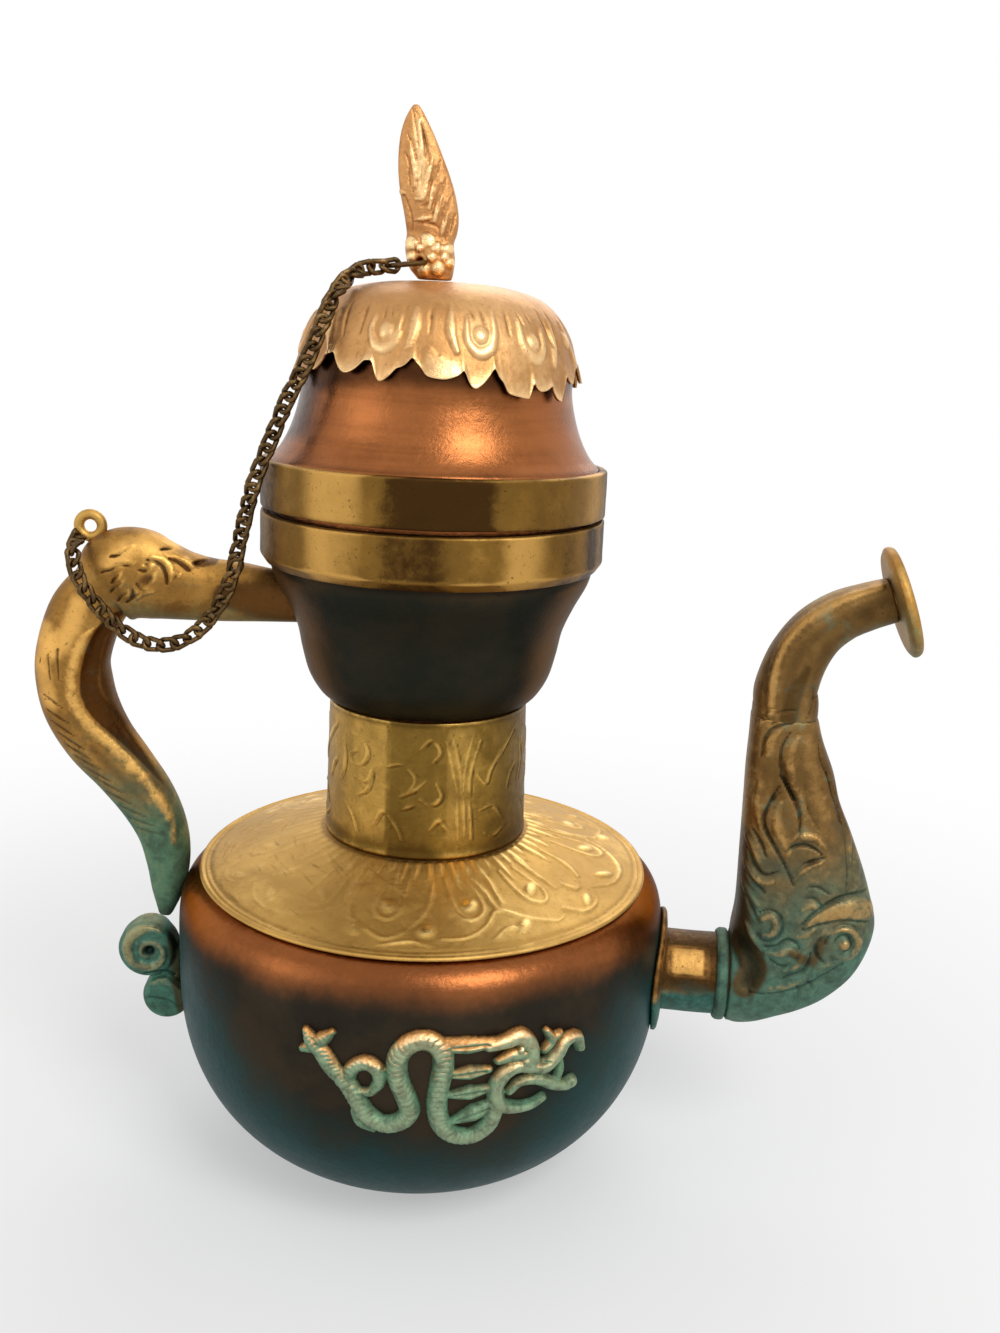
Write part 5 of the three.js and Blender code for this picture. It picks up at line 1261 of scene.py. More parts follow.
def draw_handle(relief):
    """Leaves on the arm, and strokes and a long hollow on the grip, with painted shade and painted
    highlights along given lines, and a darker inner facet on the grip
    """
    arm = relief.v - PARTING_SLOPE * relief.u > PARTING
    for line in ARM_GROOVES:
        relief.ridge(shifted(line, 1.1, 0.8), 1.3, 0.28, (0.5, 0.5), 1.6)
    for line in ARM_GROOVES:
        relief.groove(line, 0.85, 0.42, (0.5, 0.5))
    relief.groove([(-59.4, 160.6), (-57.2, 161.2), (-55.0, 161.2)], 1.0, 0.9, (0.5, 0.5))
    relief.ridge(NOTCH, 0.8, 0.5, (1, 1), 0.7)
    relief.groove([(-46.6, 157.4), (-45.2, 156.8)], 1.1, 0.9, (1, 1))
    relief.height *= arm
    grip = Relief(relief.u, relief.v)
    grip.ridge(GRIP_RIDGE, 2.6, 0.35, (0.5, 0.5), 1.2)
    for line in GRIP_LINES:
        grip.groove(line, 0.8, 0.26)
    grip.groove(shifted(GRIP_RIDGE, 4.4, 1.2), 3.6, 0.8, (0.4, 0.5))
    relief.height += grip.height * ~arm
    for row in HANDLE_SHADES:
        relief.shade(*row)
    relief.shade(shifted(GRIP_RIDGE[1:-1], 7.2, 2.6), 4.4, 1.0, (0.5, 0.8))


def add_handle():
    arm = [(-ARM_START - a * (ARM_END - ARM_START), ARM_Z + up * ARM_RISE, h * ARM_HALF, d * ARM_DEPTH)
           for a, up, h, d in ARM_SHARES]
    grip = [(-BELLY - out * GRIP_OUT, GRIP_Z + up * GRIP_TALL, w * GRIP_HALF, d * GRIP_DEPTH)
            for out, up, w, d in GRIP_SHARES]
    castings = [stacked(cast_along(arm, 90, 48)), stacked(cast_along(grip, 130, 48))]
    handle = fused("handle_casting", castings, 0.5, 5)
    carved(handle, draw_handle, (0.15, 0.6))
    dress(handle, HANDLE_BRASS, "vessel", "cast_brass", "handle")


def add_eye():
    """The ring on the handle that holds the chain's end"""
    eye = torus("handle_eye", 2.85, 1.3, 20, 64)
    upright = Matrix.Rotation(math.pi / 2, 4, "X")
    eye.data.transform(Matrix.Translation(Vector(EYE) * MM) @ upright)
    dress(eye, PLATE_BRASS, "vessel", "cast_brass")


CURL_LINE = [
    (-68.9, 59.9), (-73.7, 60.6), (-78.0, 58.4), (-79.6, 54.6), (-78.2, 50.4), (-74.1, 49.0),
    (-70.9, 50.6), (-70.2, 53.7), (-72.2, 56.0), (-75.2, 55.6), (-76.0, 52.9), (-74.2, 51.8),
]


def draw_bracket(relief):
    """A curl round an eye, over a knob, with painted shade in the eye and between curl and bowl, and a
    painted highlight along the top of the curl
    """
    relief.ridge(CURL_LINE, 1.6, 0.8, (1, 0.4), 0.8)
    relief.groove([(-73.8, 53.6)], 1.7, 1.8, (1, 1))
    relief.shade([(-73.8, 53.6)], 4.4, 0.8)
    relief.shade([(-67.5, 62), (-66.5, 46), (-65, 36)], 3.0, 1.2)
    relief.shade([(-79, 59), (-75, 61.5), (-70, 60.6)], 2.4, -0.9)
    relief.groove([(-75.4, 46.6), (-70.6, 47.2), (-66.6, 45.4)], 0.9, 0.8)
    relief.ridge([(-74.0, 43.4), (-70.2, 44.6), (-66.6, 42.8)], 1.2, 0.5, (0.5, 0.5))
    relief.groove([(-74.3, 39.9), (-69.4, 38.9), (-66.0, 36.8)], 0.8, 0.5)


def disc_rings(radius, half, x, z, sides=48):
    """A thick disc on edge, with rounded rims"""
    angle = np.arange(sides) / sides * 2 * np.pi
    rings = []
    for reach, y in ((0.72, -1), (0.9, -0.88), (1, -0.5), (1, 0.5), (0.9, 0.88), (0.72, 1)):
        rim = radius * reach
        rings.append(np.stack([x + rim * np.cos(angle), 0 * angle + y * half, z + rim * np.sin(angle)], -1))
    return rings


CURL_Z, KNOB_Z, WEB_Z, WEB_HALF = 53.2, 39.4, 46.3, 7.4


def add_bracket():
    web = [(WEB_Z + up * WEB_HALF, out, -64.8, 3.1) for up, out in ((-1, -71.5), (0, -72), (1, -71.5))]
    parts = [stacked(disc_rings(8.0, 4.4, -float(belly(CURL_Z)) - 9.4, CURL_Z)),
             stacked(disc_rings(6.6, 4.4, -float(belly(KNOB_Z)) - 5.6, KNOB_Z)),
             stacked(cast_in_slices(web, 8, 16, 3))]
    bracket = fused("scroll_casting", parts, 0.4, 5)
    carved(bracket, draw_bracket, (0.3, 0.8))
    dress(bracket, SCROLL_BRASS, "vessel", "cast_brass", "scroll_bracket")


# Spout. Its pieces are made towards +X and then turned a little to the front

HEAD_SHARES = [
    (0, 0.02, 0.15, 0.4), (0.02, 0, 0.28, 0.56), (0.052, 0, 0.42, 0.72), (0.088, 0, 0.59, 0.85),
    (0.134, 0, 0.745, 0.95), (0.204, 0, 0.895, 1), (0.286, 0, 0.98, 1), (0.368, 0.02, 1.01, 0.98),
    (0.442, 0.022, 0.967, 0.95), (0.532, 0.018, 0.895, 0.88), (0.649, 0.014, 0.78, 0.78),
    (0.746, 0.01, 0.676, 0.7), (0.836, 0.006, 0.613, 0.63), (0.93, 0.01, 0.52, 0.57),
    (1, 0.01, 0.47, 0.545),
]
HEAD_GROOVES = [
    ([(100.4, 75.5), (102.5, 78.6), (106.3, 81.9), (110.8, 84.3), (116.5, 84.5)], 0.9, 0.9),
    ([(100.7, 74.6), (104.4, 76.3), (108.2, 77.4), (112.5, 77.8), (117.4, 76.8)], 0.8, 0.9),
    ([(94.7, 94.8), (97.4, 96.6), (100.7, 96.6), (103.8, 94.7)], 0.8, 0.9),
    ([(97.9, 89.3), (100.5, 92.2), (104.8, 94.0)], 0.8, 0.9),
    ([(100.6, 85.9), (103.5, 86.1), (107.0, 84.4)], 0.7, 0.8),
    ([(100.9, 83.3), (102.8, 83.2), (104.9, 81.5)], 0.7, 0.8),
    ([(91.7, 114.3), (94.4, 110.5), (96.4, 107.1), (97.7, 103.1), (97.5, 98.4)], 0.9, 0.8),
    ([(91.7, 111.3), (90.0, 107.6), (88.5, 102.8), (89.3, 99.3), (92.6, 94.4), (95.4, 89.9),
     (97.5, 85.9)], 0.9, 0.9), ([(86.0, 99.0), (88.1, 96.1), (89.9, 92.6)], 0.8, 0.8),
    ([(85.5, 93.2), (87.2, 89.7), (89.8, 87.8), (93.1, 89.2)], 0.8, 0.9),
    ([(85.6, 86.9), (87.7, 85.0), (90.3, 83.1)], 0.8, 0.8),
    ([(86.1, 80.6), (87.8, 77.5), (89.0, 75.5)], 0.8, 0.7),
    ([(89.5, 77.7), (92.1, 79.0), (94.6, 77.6), (95.6, 74.5), (94.2, 71.4), (91.4, 70.1), (89.1, 71.7)],
     0.7, 0.8), ([(91.5, 68.7), (94.4, 69.3), (96.9, 71.4), (99.7, 70.6), (100.3, 69.0)], 0.8, 0.9),
    ([(93.3, 65.6), (95.9, 64.0), (98.8, 64.5), (100.4, 67.9)], 0.8, 0.8),
    ([(96.7, 60.5), (99.0, 61.8), (101.8, 63.2), (103.2, 66.6), (103.3, 68.5)], 0.9, 0.9),
    ([(89.3, 55.1), (94.2, 55.7), (99.5, 57.4), (103.2, 59.5), (107.3, 62.6), (111.8, 65.8)], 0.7, 0.7),
    ([(88.9, 56.4), (89.2, 52.0)], 0.7, 0.6), ([(100.8, 58.7), (101.5, 55.5)], 0.7, 0.6),
    ([(103.0, 60.8), (105.0, 58.0)], 0.7, 0.6),
    ([(106.0, 112.4), (107.7, 105.5), (109.8, 99.0), (110.8, 91.3), (111.0, 85.0)], 0.7, 0.6),
    ([(103.8, 115.3), (105.8, 109.4), (108.0, 102.4)], 0.6, 0.5),
    ([(86.5, 118.7), (87.1, 123.3), (89.2, 126.2), (93.7, 128.1)], 0.8, 0.7),
    ([(93.3, 125.3), (91.7, 121.6), (91.6, 117.6), (93.0, 113.1), (95.6, 108.1)], 0.8, 0.8),
    ([(90.0, 107.1), (92.1, 109.9)], 0.7, 0.6), ([(86.2, 127.8), (88.4, 129.2)], 0.7, 0.6),
    ([(100.8, 123.3), (101.8, 118.8), (103.9, 114.4), (105.6, 108.9)], 0.7, 0.6),
    ([(88.2, 126.9), (90.4, 128.9), (94.0, 130.4)], 0.7, 0.6),
    ([(98, 112), (99.6, 106), (102.4, 101)], 0.7, 0.5),
    ([(105.5, 73.2), (104.3, 70.2), (105.1, 67.6), (106.9, 65.9)], 0.9, 1.0),
    ([(108.9, 70.4), (109.4, 72.8), (111.7, 73.8), (113.4, 72.2), (113.3, 70.0), (111.7, 69.3)], 0.7,
     0.9), ([(106.6, 71), (107.8, 74.6), (110.4, 76.4), (113.8, 75.9), (116, 72.6)], 0.7, 0.8),
]
HEAD_RIDGES = [
    ([(101.1, 75.3), (104.2, 78.0), (107.9, 79.6), (112.1, 80.6), (117.2, 79.9)], 3.0, 1.0, (0.2, 1)),
    ([(107.3, 74.0), (109.8, 75.6), (113.0, 75.2), (115.0, 72.3), (114.4, 69.0), (111.6, 67.4),
     (108.8, 68.5)], 1.3, 0.9, (0.6, 0.5)), ([(111.5, 71.2)], 1.5, 1.2, (1, 1)),
    ([(90.4, 76), (92.4, 77.2), (94, 75.4), (93.2, 72.6), (91, 71.8)], 1.2, 0.8, (0.7, 0.7)),
    ([(95.4, 97.4), (98, 99), (102, 98.6), (104.8, 96)], 1.1, 0.7, (0.4, 0.4)),
    ([(97.2, 87.4), (99.6, 90.6), (103.6, 92.4)], 1.1, 0.7, (0.4, 0.4)),
    ([(92.4, 107), (92.0, 102), (93.6, 98), (95.6, 94)], 1.6, 0.7, (0.5, 0.4)),
    ([(84.8, 97), (86.6, 94.6), (88.4, 90.8)], 1.2, 0.7, (0.5, 0.5)),
    ([(85, 90), (86.8, 87.4), (89.4, 85.6), (92, 86.4)], 1.1, 0.7, (0.5, 0.5)),
    ([(85.2, 84), (87, 81.4), (89, 79.4)], 1.1, 0.6, (0.5, 0.5)),
    ([(92, 67.2), (95, 67.4), (97.6, 68.6), (100, 67.4)], 1.3, 0.8, (0.5, 0.5)),
    ([(97, 63), (100, 65), (101.4, 68)], 1.2, 0.7, (0.5, 0.5)),
    ([(112.4, 98), (113.2, 91), (113.0, 86)], 1.2, 0.6, (0.4, 0.6)),
    ([(88.2, 119), (88.8, 123), (90.8, 125.4)], 1.2, 0.5, (0.5, 0.4)),
    ([(95.2, 124), (93.8, 119), (95, 113.6), (97.6, 108.4)], 1.4, 0.6, (0.5, 0.3)),
    ([(85.6, 126), (86.8, 128.4), (89.8, 130.4)], 1.1, 0.5, (0.5, 0.4)),
    ([(108.6, 106), (110.4, 99), (111.2, 92)], 1.1, 0.5, (0.4, 0.5)),
    ([(87, 112), (86.6, 106), (88, 100)], 1.2, 0.5, (0.5, 0.5)),
    ([(99.8, 79.6), (101.6, 81.2), (104.2, 80.4)], 0.9, 0.5, (0.5, 0.5)),
    ([(86.6, 73.6), (88.2, 70.4), (90.6, 68)], 1.1, 0.6, (0.5, 0.5)),
    ([(93.6, 57.4), (98.6, 59), (102.6, 61.2)], 1.0, 0.5, (0.4, 0.4)),
    ([(105.6, 64.4), (108.4, 65.6), (110.8, 67)], 1.0, 0.4, (0.4, 0.4)),
    ([(99.4, 72.6), (102, 73.4), (103.4, 75)], 1.0, 0.6, (0.5, 0.5)),
    ([(104.6, 71), (106, 75)], 1.0, 0.5, (0.5, 0.5)),
]


# Lines of painted shade on the head, with painted highlights where the amount is below 0
HEAD_SHADES = [
    ([(84.6, 69.0), (88.0, 65.6), (89.4, 61.6), (87.6, 57.0)], 5.2, 1.6),
    ([(84, 96), (85, 84), (86, 74)], 4.2, 0.9), ([(88, 118), (92, 108), (97, 96), (98, 84)], 3.4, 0.4),
    ([(99, 68), (104, 66), (106, 72)], 3.0, 0.9), ([(103, 124), (106, 112), (110, 100)], 3.4, 0.5),
    ([(111.5, 71.2)], 2.4, -0.5), ([(87, 134), (88, 124), (88, 112)], 3.0, -0.4),
    ([(98, 124), (100, 114), (104, 104)], 3.0, -0.35),
]


def draw_head(relief):
    """The beast's face and mane"""
    for line, half, height, ends in HEAD_RIDGES:
        relief.ridge(line, half, height, ends, 0.6)
    for row in HEAD_GROOVES:
        relief.groove(*row)
    relief.groove([(85.6, 68.0), (88.4, 65.0), (89.8, 61.6), (88.6, 58.0)], 3.4, 0.8, (1, 1))
    for row in HEAD_SHADES:
        relief.shade(*row)


def turned_spout(obj):
    obj.data.transform(Matrix.Rotation(SPOUT_TURN, 4, "Z"))
    return obj


def add_spout_head():
    slices = [(HEAD_Z + up * HEAD_TALL, HEAD_X + near * HEAD_WIDE, HEAD_X + far * HEAD_WIDE,
               depth * HEAD_DEEP)
              for up, near, far, depth in HEAD_SHARES]
    angle = np.arange(48) / 48 * 2 * np.pi
    jaw = [[(x, 12.1 * math.cos(a), SPOUT_Z + 12.1 * math.sin(a)) for a in angle]
           for x in (HEAD_X + 0.1, HEAD_X + 7)]
    head = fused("spout_casting", [stacked(cast_in_slices(slices, 120, 64, 3)), stacked(jaw)], 0.5, 4)
    carved(head, draw_head, (0.12, 0.5))
    dress(turned_spout(head), SPOUT_BRASS, "vessel", "cast_brass", "spout_head")


NECK_SHARES = [
    (0, 0, 1, 1), (0, 0.09, 0.99, 0.98), (-0.01, 0.22, 0.95, 0.95), (0.08, 0.47, 0.9, 0.92),
    (0.25, 0.69, 0.83, 0.88), (0.48, 0.84, 0.77, 0.84), (0.74, 0.93, 0.71, 0.81), (1, 1, 0.67, 0.79),
]
NECK_RIDGE = [
    (111.9, 163.3), (104.4, 160.2), (98.4, 156.6), (94.1, 153.1), (91.2, 149.6), (89.4, 145.4),
    (88.4, 141.0), (88.0, 136.0), (88.2, 129.9),
]
NECK_MARKS = [
    [(88.2, 128.9), (90.4, 130.4), (94.0, 131.2)], [(86.6, 129.8), (88.4, 131.2)],
    [(97.4, 129), (98.6, 133), (98.2, 137)],
]


def draw_neck(relief):
    """A ridge along the back of the upper tube with a painted highlight on it, and painted shade beside and
    below it
    """
    relief.ridge(NECK_RIDGE, 1.8, 0.55, (0.6, 0.8), 0.9)
    relief.shade(NECK_RIDGE, 1.5, -0.6)
    relief.shade(shifted(NECK_RIDGE, 3.4, -2.6), 2.6, 0.5)
    relief.shade([(100, 128), (98, 138), (101, 148), (110, 156)], 3.0, 0.5)
    relief.shade([(93, 129), (94, 136), (96, 142)], 2.6, 0.9, (1.2, 0.5))
    for line in NECK_MARKS:
        relief.groove(line, 0.7, 0.5)


def add_spout_neck():
    reach, rise = MOUTH - SHEATH
    stations = np.array([(SHEATH[0] + out * reach, SHEATH[1] + up * rise, w * 8.3, d * 7.1)
                         for out, up, w, d in NECK_SHARES])
    stations[0, 1] -= 0.8
    outer = cast_along(stations, 110, 72, 2.5)
    inner = cast_along(stations - [0, 0, 1.6, 1.6], 110, 72, 2.0)[::-1]
    rings = np.concatenate([outer, inner])
    neck = add_mesh("spout_arm", rings.reshape(-1, 3), grid_faces(len(rings), 72, True))
    carved(neck, draw_neck, (0.2, 0.7))
    dress(turned_spout(neck), SPOUT_BRASS, "vessel", "cast_brass", "spout_neck")


def add_lip():
    way = (np.array(NECK_SHARES[-1]) - NECK_SHARES[-2])[:2] * (MOUTH - SHEATH)
    way /= np.hypot(*way)
    centre = MOUTH + way * 2.0
    bore, half, radius, drop = 4.0, 1.65, 14.2, 1.2
    line = [(bore, half), (bore, -half), (radius - 1.7, -half), (radius, -0.6), (radius, 0.6),
            (radius - 0.8, half), (bore, half)]
    line = densified(rounded(line, 0.7, 4), 1.2)
    lip = revolve("spout_mouth", line, [], 96)
    points = np.array([v.co for v in lip.data.vertices])
    rho = np.hypot(points[:, 0], points[:, 1]) / MM
    points[:, 0] += drop * MM * step(rho, 5, radius)
    lip.data.vertices.foreach_set("co", points.ravel())
    lip.data.transform(Matrix.Translation(Vector((centre[0], 0, centre[1])) * MM)
                       @ Matrix.Rotation(-math.atan2(way[1], way[0]), 4, "Y")
                       @ Matrix.Rotation(math.pi / 2, 4, "Y"))
    dress(turned_spout(lip), HANDLE_BRASS, "vessel", "cast_brass", "spout_lip")


def add_tube():
    start, end = 60.8, HEAD_X + 6
    outside = densified([(10.85, start), (10.85, end)], 1.2)

    def patchy(azimuth, radius, along):
        under = np.degrees(np.arcsin(np.sin(np.radians(azimuth))))
        gilt = between(under, (-64, -54), (-24, -14)) * between(along, (67.2, 68.6), (76.4, 78.4))
        waves = 0.05 * np.sin(np.radians(azimuth) * 3 + along * 0.4)
        return waves, (1 - step(under, 0, 12)) * (0.6 - 1.3 * gilt)

    tube = revolve("spout_pipe", outside, [(9.3, end), (9.3, start)], 96, patchy)
    dress(along_spout(tube), TUBE_COPPER, "vessel", "copper", "spout_tube")


def add_spout_ring():
    line = [(11.2, -3.3), (11.7, -3.2), (12.25, -2.4), (12.25, -0.9), (11.9, -0.3), (11.2, -0.3),
            (11.2, -3.3)]
    line = rounded([(rho, HEAD_X + x) for rho, x in line], 0.3)
    ring = along_spout(revolve("spout_ring", densified(line, 0.6), [], 96))
    dress(ring, SPOUT_BRASS, "vessel", "cast_brass", "spout_collar")


def add_flange():
    """A thin collar of sheet that hugs the bowl round the tube"""
    angle = np.arange(120) / 120 * 2 * np.pi
    rows = [(11.2, 0.35), (11.3, 1.8), (13.5, 1.85), (15.8, 1.75), (16.4, 1.4), (16.5, 0.9), (16.3, 0.35),
            (13.5, 0.35)]
    rings = []
    for rho, off in rows:
        y, z = rho * np.cos(angle), SPOUT_Z + rho * np.sin(angle)
        x = np.sqrt(np.maximum((belly(z) + off) ** 2 - y ** 2, 0))
        rings.append(np.stack([x, y, z], -1))
    flange = add_mesh("spout_seat", np.concatenate(rings), grid_faces(len(rows), 120, True))
    dress(turned_spout(flange), TUBE_COPPER, "vessel", "copper", "spout_flange")


# Dragons. Lines of (azimuth, height), each with its half width, height and share of width at its ends

DRAGON_BODY = [
    (16.0, 44.6), (14.7, 40.2), (11.4, 37.6), (7.5, 38.4), (4.9, 41.6), (3.9, 46.7), (4.3, 52.4),
    (5.0, 57.9), (4.1, 62.0), (1.1, 64.0), (-2.1, 62.8), (-4.2, 59.1), (-4.1, 54.1), (-2.5, 49.4),
    (-1.6, 45.4), (-3.4, 42.5), (-6.8, 41.5), (-10.2, 43.7), (-12.2, 47.4), (-13.9, 50.7), (-15.3, 52.5),
]
DRAGON_LINES = [
    ([(-15.1, 52.1), (-17.6, 54.8), (-19.9, 58.3), (-22.0, 60.5)], 1.9, 2.2, (0.9, 0.9)),
    ([(-21.7, 60.0), (-23.4, 63.2)], 1.5, 2.0, (1, 0.5)),
    ([(-21.2, 60.4), (-19.2, 62.3), (-17.7, 63.9)], 1.5, 2.0, (1, 0.5)),
    ([(-21.7, 59.5), (-24.2, 58.1)], 1.3, 1.8, (1, 0.6)),
    ([(-14.3, 52.7), (-13.3, 55.7), (-10.8, 57.4), (-8.4, 56.2), (-7.8, 52.9), (-9.5, 50.1),
     (-11.5, 50.0)], 1.6, 2.3, (0.9, 0.5)),
    ([(-12.4, 44.2), (-11.6, 41.5), (-8.9, 39.5)], 1.3, 1.7, (1, 0.5)),
    ([(-3.2, 43), (-0.4, 44.4)], 1.3, 1.4, (1, 0.4)),
    ([(4.4, 62.6), (10.3, 62.2), (15.1, 62.4)], 1.9, 2.0, (0.8, 0.6)),
    ([(6.2, 54.9), (10.2, 55.2), (14.3, 55.5)], 1.6, 1.9, (0.5, 0.5)),
    ([(6.4, 49.7), (10.4, 49.9), (14.4, 50.5)], 1.6, 1.9, (0.5, 0.5)),
    ([(7.0, 42.4), (11.3, 44.2), (15.7, 46.2)], 2.0, 2.0, (0.4, 0.7)),
    ([(23.6, 54.3), (20.3, 55.2), (17.5, 53.8), (15.8, 50.2), (16.8, 46.0), (19.4, 44.4), (23.6, 43.9),
     (26.6, 45.2)], 1.8, 2.6, (0.8, 0.5)),
    ([(18.8, 48.9), (21.2, 51.0), (25.4, 50.5), (29.2, 47.8), (32.5, 46.4)], 1.4, 2.3, (0.6, 0.9)),
    ([(33.6, 47.0)], 1.5, 2.4, (1, 1)),
    ([(14.1, 61.7), (17.9, 62.3), (20.7, 62.9), (23.0, 59.8), (23.6, 56.2)], 1.9, 2.7, (0.7, 0.9)),
    ([(22.1, 56.2), (26.0, 53.6), (29.1, 55.6), (31.4, 58.8), (34.4, 58.9), (35.6, 55.6)], 1.8, 2.6,
     (0.9, 0.6)), ([(26.7, 62.9), (28.0, 60.2), (26.4, 57.9)], 1.2, 2.1, (0.6, 0.8)),
    ([(28.6, 60.6), (30.2, 61.4)], 1.0, 1.8, (1, 0.6)),
    ([(16.2, 57.4), (19.4, 58.4), (22, 57.6)], 1.5, 2.2, (0.6, 0.8)),
    ([(29.4, 47.8), (30.6, 51.2), (30.6, 54.4)], 1.0, 1.5, (1, 0.6)),
]
DRAGON_CUTS = [
    [(6.6, 54.9), (13.6, 55.4)], [(7, 49.7), (13.6, 50.3)], [(8, 43), (14.6, 45.6)],
    [(6.4, 62.2), (14, 62.3)], [(17.6, 53), (17.2, 49.6), (18.6, 46.4), (23, 45)],
    [(19.6, 60.4), (22, 59)], [(24, 55.2), (27.2, 55)],
]


def dragon_relief(u, v):
    """A dragon's height over the unrolled bowl"""
    r = Relief(u[None, :], v[:, None])
    r.ridge(unrolled(DRAGON_BODY, BELLY), 2.6, 2.6, (0.9, 0.9))
    for line, half, height, ends in DRAGON_LINES:
        r.ridge(unrolled(line, BELLY), half * 1.22, height, ends)
    r.scales(unrolled(DRAGON_BODY, BELLY), 2.6, 1.3, 0.22)
    for line in DRAGON_CUTS:
        r.groove(unrolled(line, BELLY), 0.6, 0.8)
    for line, half, _, _ in DRAGON_LINES[:7]:
        r.scales(unrolled(line, BELLY), half, 1.1, 0.16)
    eye = unrolled([(20.6, 59.8)], BELLY)
    r.ridge(eye, 0.9, 3.3, (1, 1))
    r.groove(eye, 0.4, 0.6, (1, 1))
    return r.height


def slab_faces(cells, below):
    """Faces over the picked cells of a grid, the same on the points below it, and walls between"""
    columns = cells.shape[1] + 1
    i, j = np.nonzero(cells)
    first = i * columns + j
    quads = np.stack([first, first + 1, first + columns + 1, first + columns], -1)
    seen = {}
    for quad in quads.tolist():
        for p, q in zip(quad, quad[1:] + quad[:1]):
            key = (min(p, q), max(p, q))
            seen[key] = None if key in seen else (p, q)
    walls = [[p, q, q + below, p + below] for p, q in filter(None, seen.values())]
    return np.concatenate([quads, quads[:, ::-1] + below, np.array(walls)])


def add_dragon(name, node, turn):
    grid = 0.24
    u = np.arange(math.radians(-26.5) * BELLY, math.radians(38) * BELLY, grid)
    v = np.arange(34.2, 67.4, grid)
    height = dragon_relief(u, v)
    solid = height > 0.12
    cells = solid[:-1, :-1] | solid[1:, :-1] | solid[:-1, 1:] | solid[1:, 1:]
    rise = np.where(solid, np.minimum(height, 2.65), -0.25)
    a = u[None, :] / BELLY
    sheets = []
    for lift in (rise, -0.6 + 0 * rise):
        rho = belly(v)[:, None] + lift
        sheets.append(np.stack([rho * np.sin(a), -rho * np.cos(a), v[:, None] + 0 * a], -1).reshape(-1, 3))
    faces = slab_faces(cells, rise.size)
    used, index = np.unique(faces, return_inverse=True)
    marks = np.concatenate([(rise - 1.1).ravel(), np.full(rise.size, -1.0)])
    dragon = add_mesh(name, np.concatenate(sheets)[used], index.reshape(faces.shape), marks[used])
    soft = dragon.modifiers.new("soften", "SMOOTH")
    soft.factor, soft.iterations = 0.5, 1
    baked(dragon)
    dragon.data.transform(Matrix.Rotation(turn, 4, "Z"))
    dress(dragon, DRAGON_BRASS, "vessel", "cast_brass", node)


# Studio

def add_floor():
    """A pale floor that fades to white away from the ewer, for the camera and in mirrors"""
    reach = 6
    corners = [(-reach, -reach, 0), (reach, -reach, 0), (reach, reach, 0), (-reach, reach, 0)]
    mesh = bpy.data.meshes.new("floor")
    mesh.from_pydata(corners, [], [(0, 1, 2, 3)])
    floor = linked("floor", mesh)
    s = Finish("pale_floor")
    away = s.node("ShaderNodeVectorMath", {"operation": "LENGTH"}, {0: s.place()}, "Value")
    near = s.node("ShaderNodeBsdfPrincipled", None, {
        "Base Color": (0.86, 0.86, 0.86, 1), "Roughness": 0.9, "Specular IOR Level": 0.1})
    white = s.node("ShaderNodeEmission", None, {"Color": (1, 1, 1, 1), "Strength": 1.0})
    seen = s.node("ShaderNodeLightPath", None, None, "Is Camera Ray")
    mirrored = s.node("ShaderNodeLightPath", None, None, "Is Glossy Ray")
    share = (s.step(away, 90, 420) * 0.6 + 0.4) * (seen + mirrored).math("MINIMUM", 1.0)
    mesh.materials.append(s.shown(s.node("ShaderNodeMixShader", None, {0: share, 1: near, 2: white})))


def add_world():
    """Plain soft light from all round, white to the camera and in mirrors"""
    world = bpy.data.worlds.new("studio")
    bpy.context.scene.world = world
    world.use_nodes = True
    tree = world.node_tree
    tree.nodes.clear()
    path = tree.nodes.new("ShaderNodeLightPath")
    seen = Socket(tree, path.outputs["Is Camera Ray"])
    for name in ("Is Glossy Ray", "Is Transmission Ray"):
        seen = seen.math("MAXIMUM", Socket(tree, path.outputs[name]))
    back = tree.nodes.new("ShaderNodeBackground")
    back.inputs["Color"].default_value = (1, 1, 1, 1)
    plug(tree, back.inputs["Strength"], 0.55 + seen * 0.45)
    out = tree.nodes.new("ShaderNodeOutputWorld")
    tree.links.new(back.outputs[0], out.inputs[0])


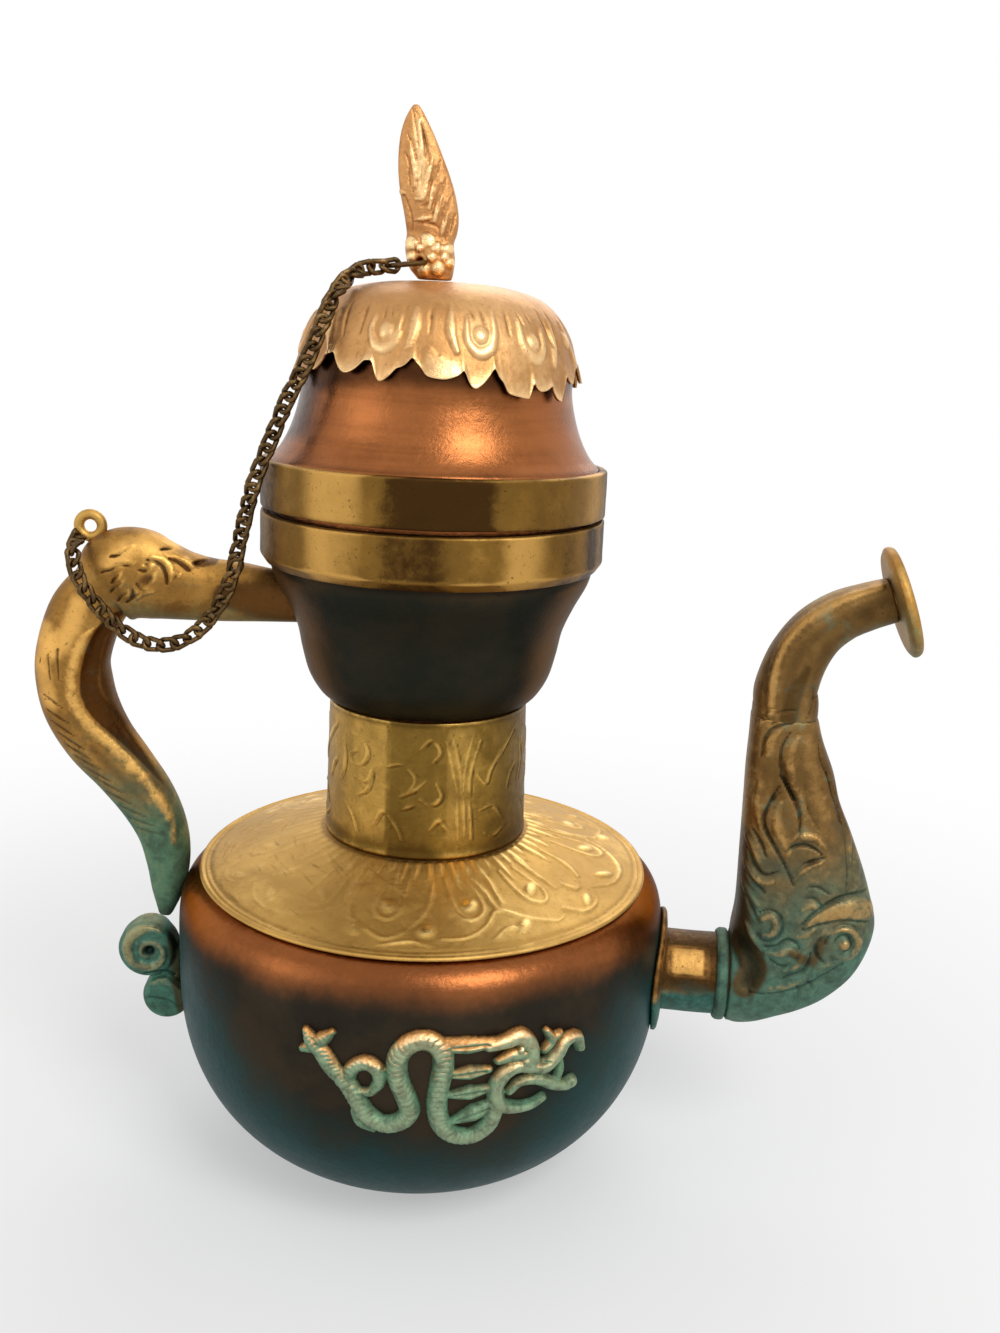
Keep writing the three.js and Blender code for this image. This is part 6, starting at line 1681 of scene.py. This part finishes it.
# Name, place in metres, size and power
LAMPS = [("key", (0.45, -0.75, 0.95), 0.5, 6.0), ("fill", (-0.95, -0.55, 0.55), 0.6, 1.2),
         ("back", (0.2, 0.9, 0.8), 0.8, 3.0)]


def add_lamps():
    for name, at, size, power in LAMPS:
        light = bpy.data.lights.new(name, "AREA")
        light.shape, light.size, light.energy = "SQUARE", size, power
        lamp = linked(name, light)
        lamp.location = at
        aim = Vector((0, 0, 0.12)) - Vector(at)
        lamp.rotation_euler = aim.to_track_quat("-Z", "Y").to_euler()


def add_camera():
    down, aside, roll = (math.radians(a) for a in (14.58, 3.21, 2.36))
    ahead = Vector((math.sin(aside) * math.cos(down), math.cos(aside) * math.cos(down), -math.sin(down)))
    right = Vector((math.cos(aside), -math.sin(aside), 0))
    up = right.cross(ahead)
    right, up = right * math.cos(roll) + up * math.sin(roll), up * math.cos(roll) - right * math.sin(roll)
    camera = linked("camera", bpy.data.cameras.new("camera"))
    camera.matrix_world = (Matrix.Translation((0, -0.330, 0.22085))
                           @ Matrix((right, up, -ahead)).transposed().to_4x4())
    camera.data.lens, camera.data.sensor_width = 35.11, 36.0
    camera.data.clip_start = 0.01
    bpy.context.scene.camera = camera


add_camera()
add_floor()
add_world()
add_lamps()
for node in ("base_disc", "neck_tube"):
    finish_node(node, COPPER)
finish_node("lid_sleeve", LID_COPPER)
for node in ("finial_washer", "handle_rivet_lower", "handle_rivet_upper", "scroll_rivet"):
    finish_node(node, BAND_BRASS)
add_bowl()
add_plate()
add_collar()
add_cup()
add_bands()
add_lid()
add_cap()
add_finial()
add_ring()
links = link_group()
add_chain(links, "chain_upper", "lid", 1, 18)
add_chain(links, "chain_hanging", "chain_lower", 19, 32)
add_handle()
add_eye()
add_bracket()
add_spout_head()
add_spout_neck()
add_lip()
add_tube()
add_spout_ring()
add_flange()
add_dragon("dragon_relief_front", "dragon_front", 0)
add_dragon("dragon_relief_back", "dragon_back", math.pi)

scene = bpy.context.scene
scene.view_settings.view_transform = "Standard"
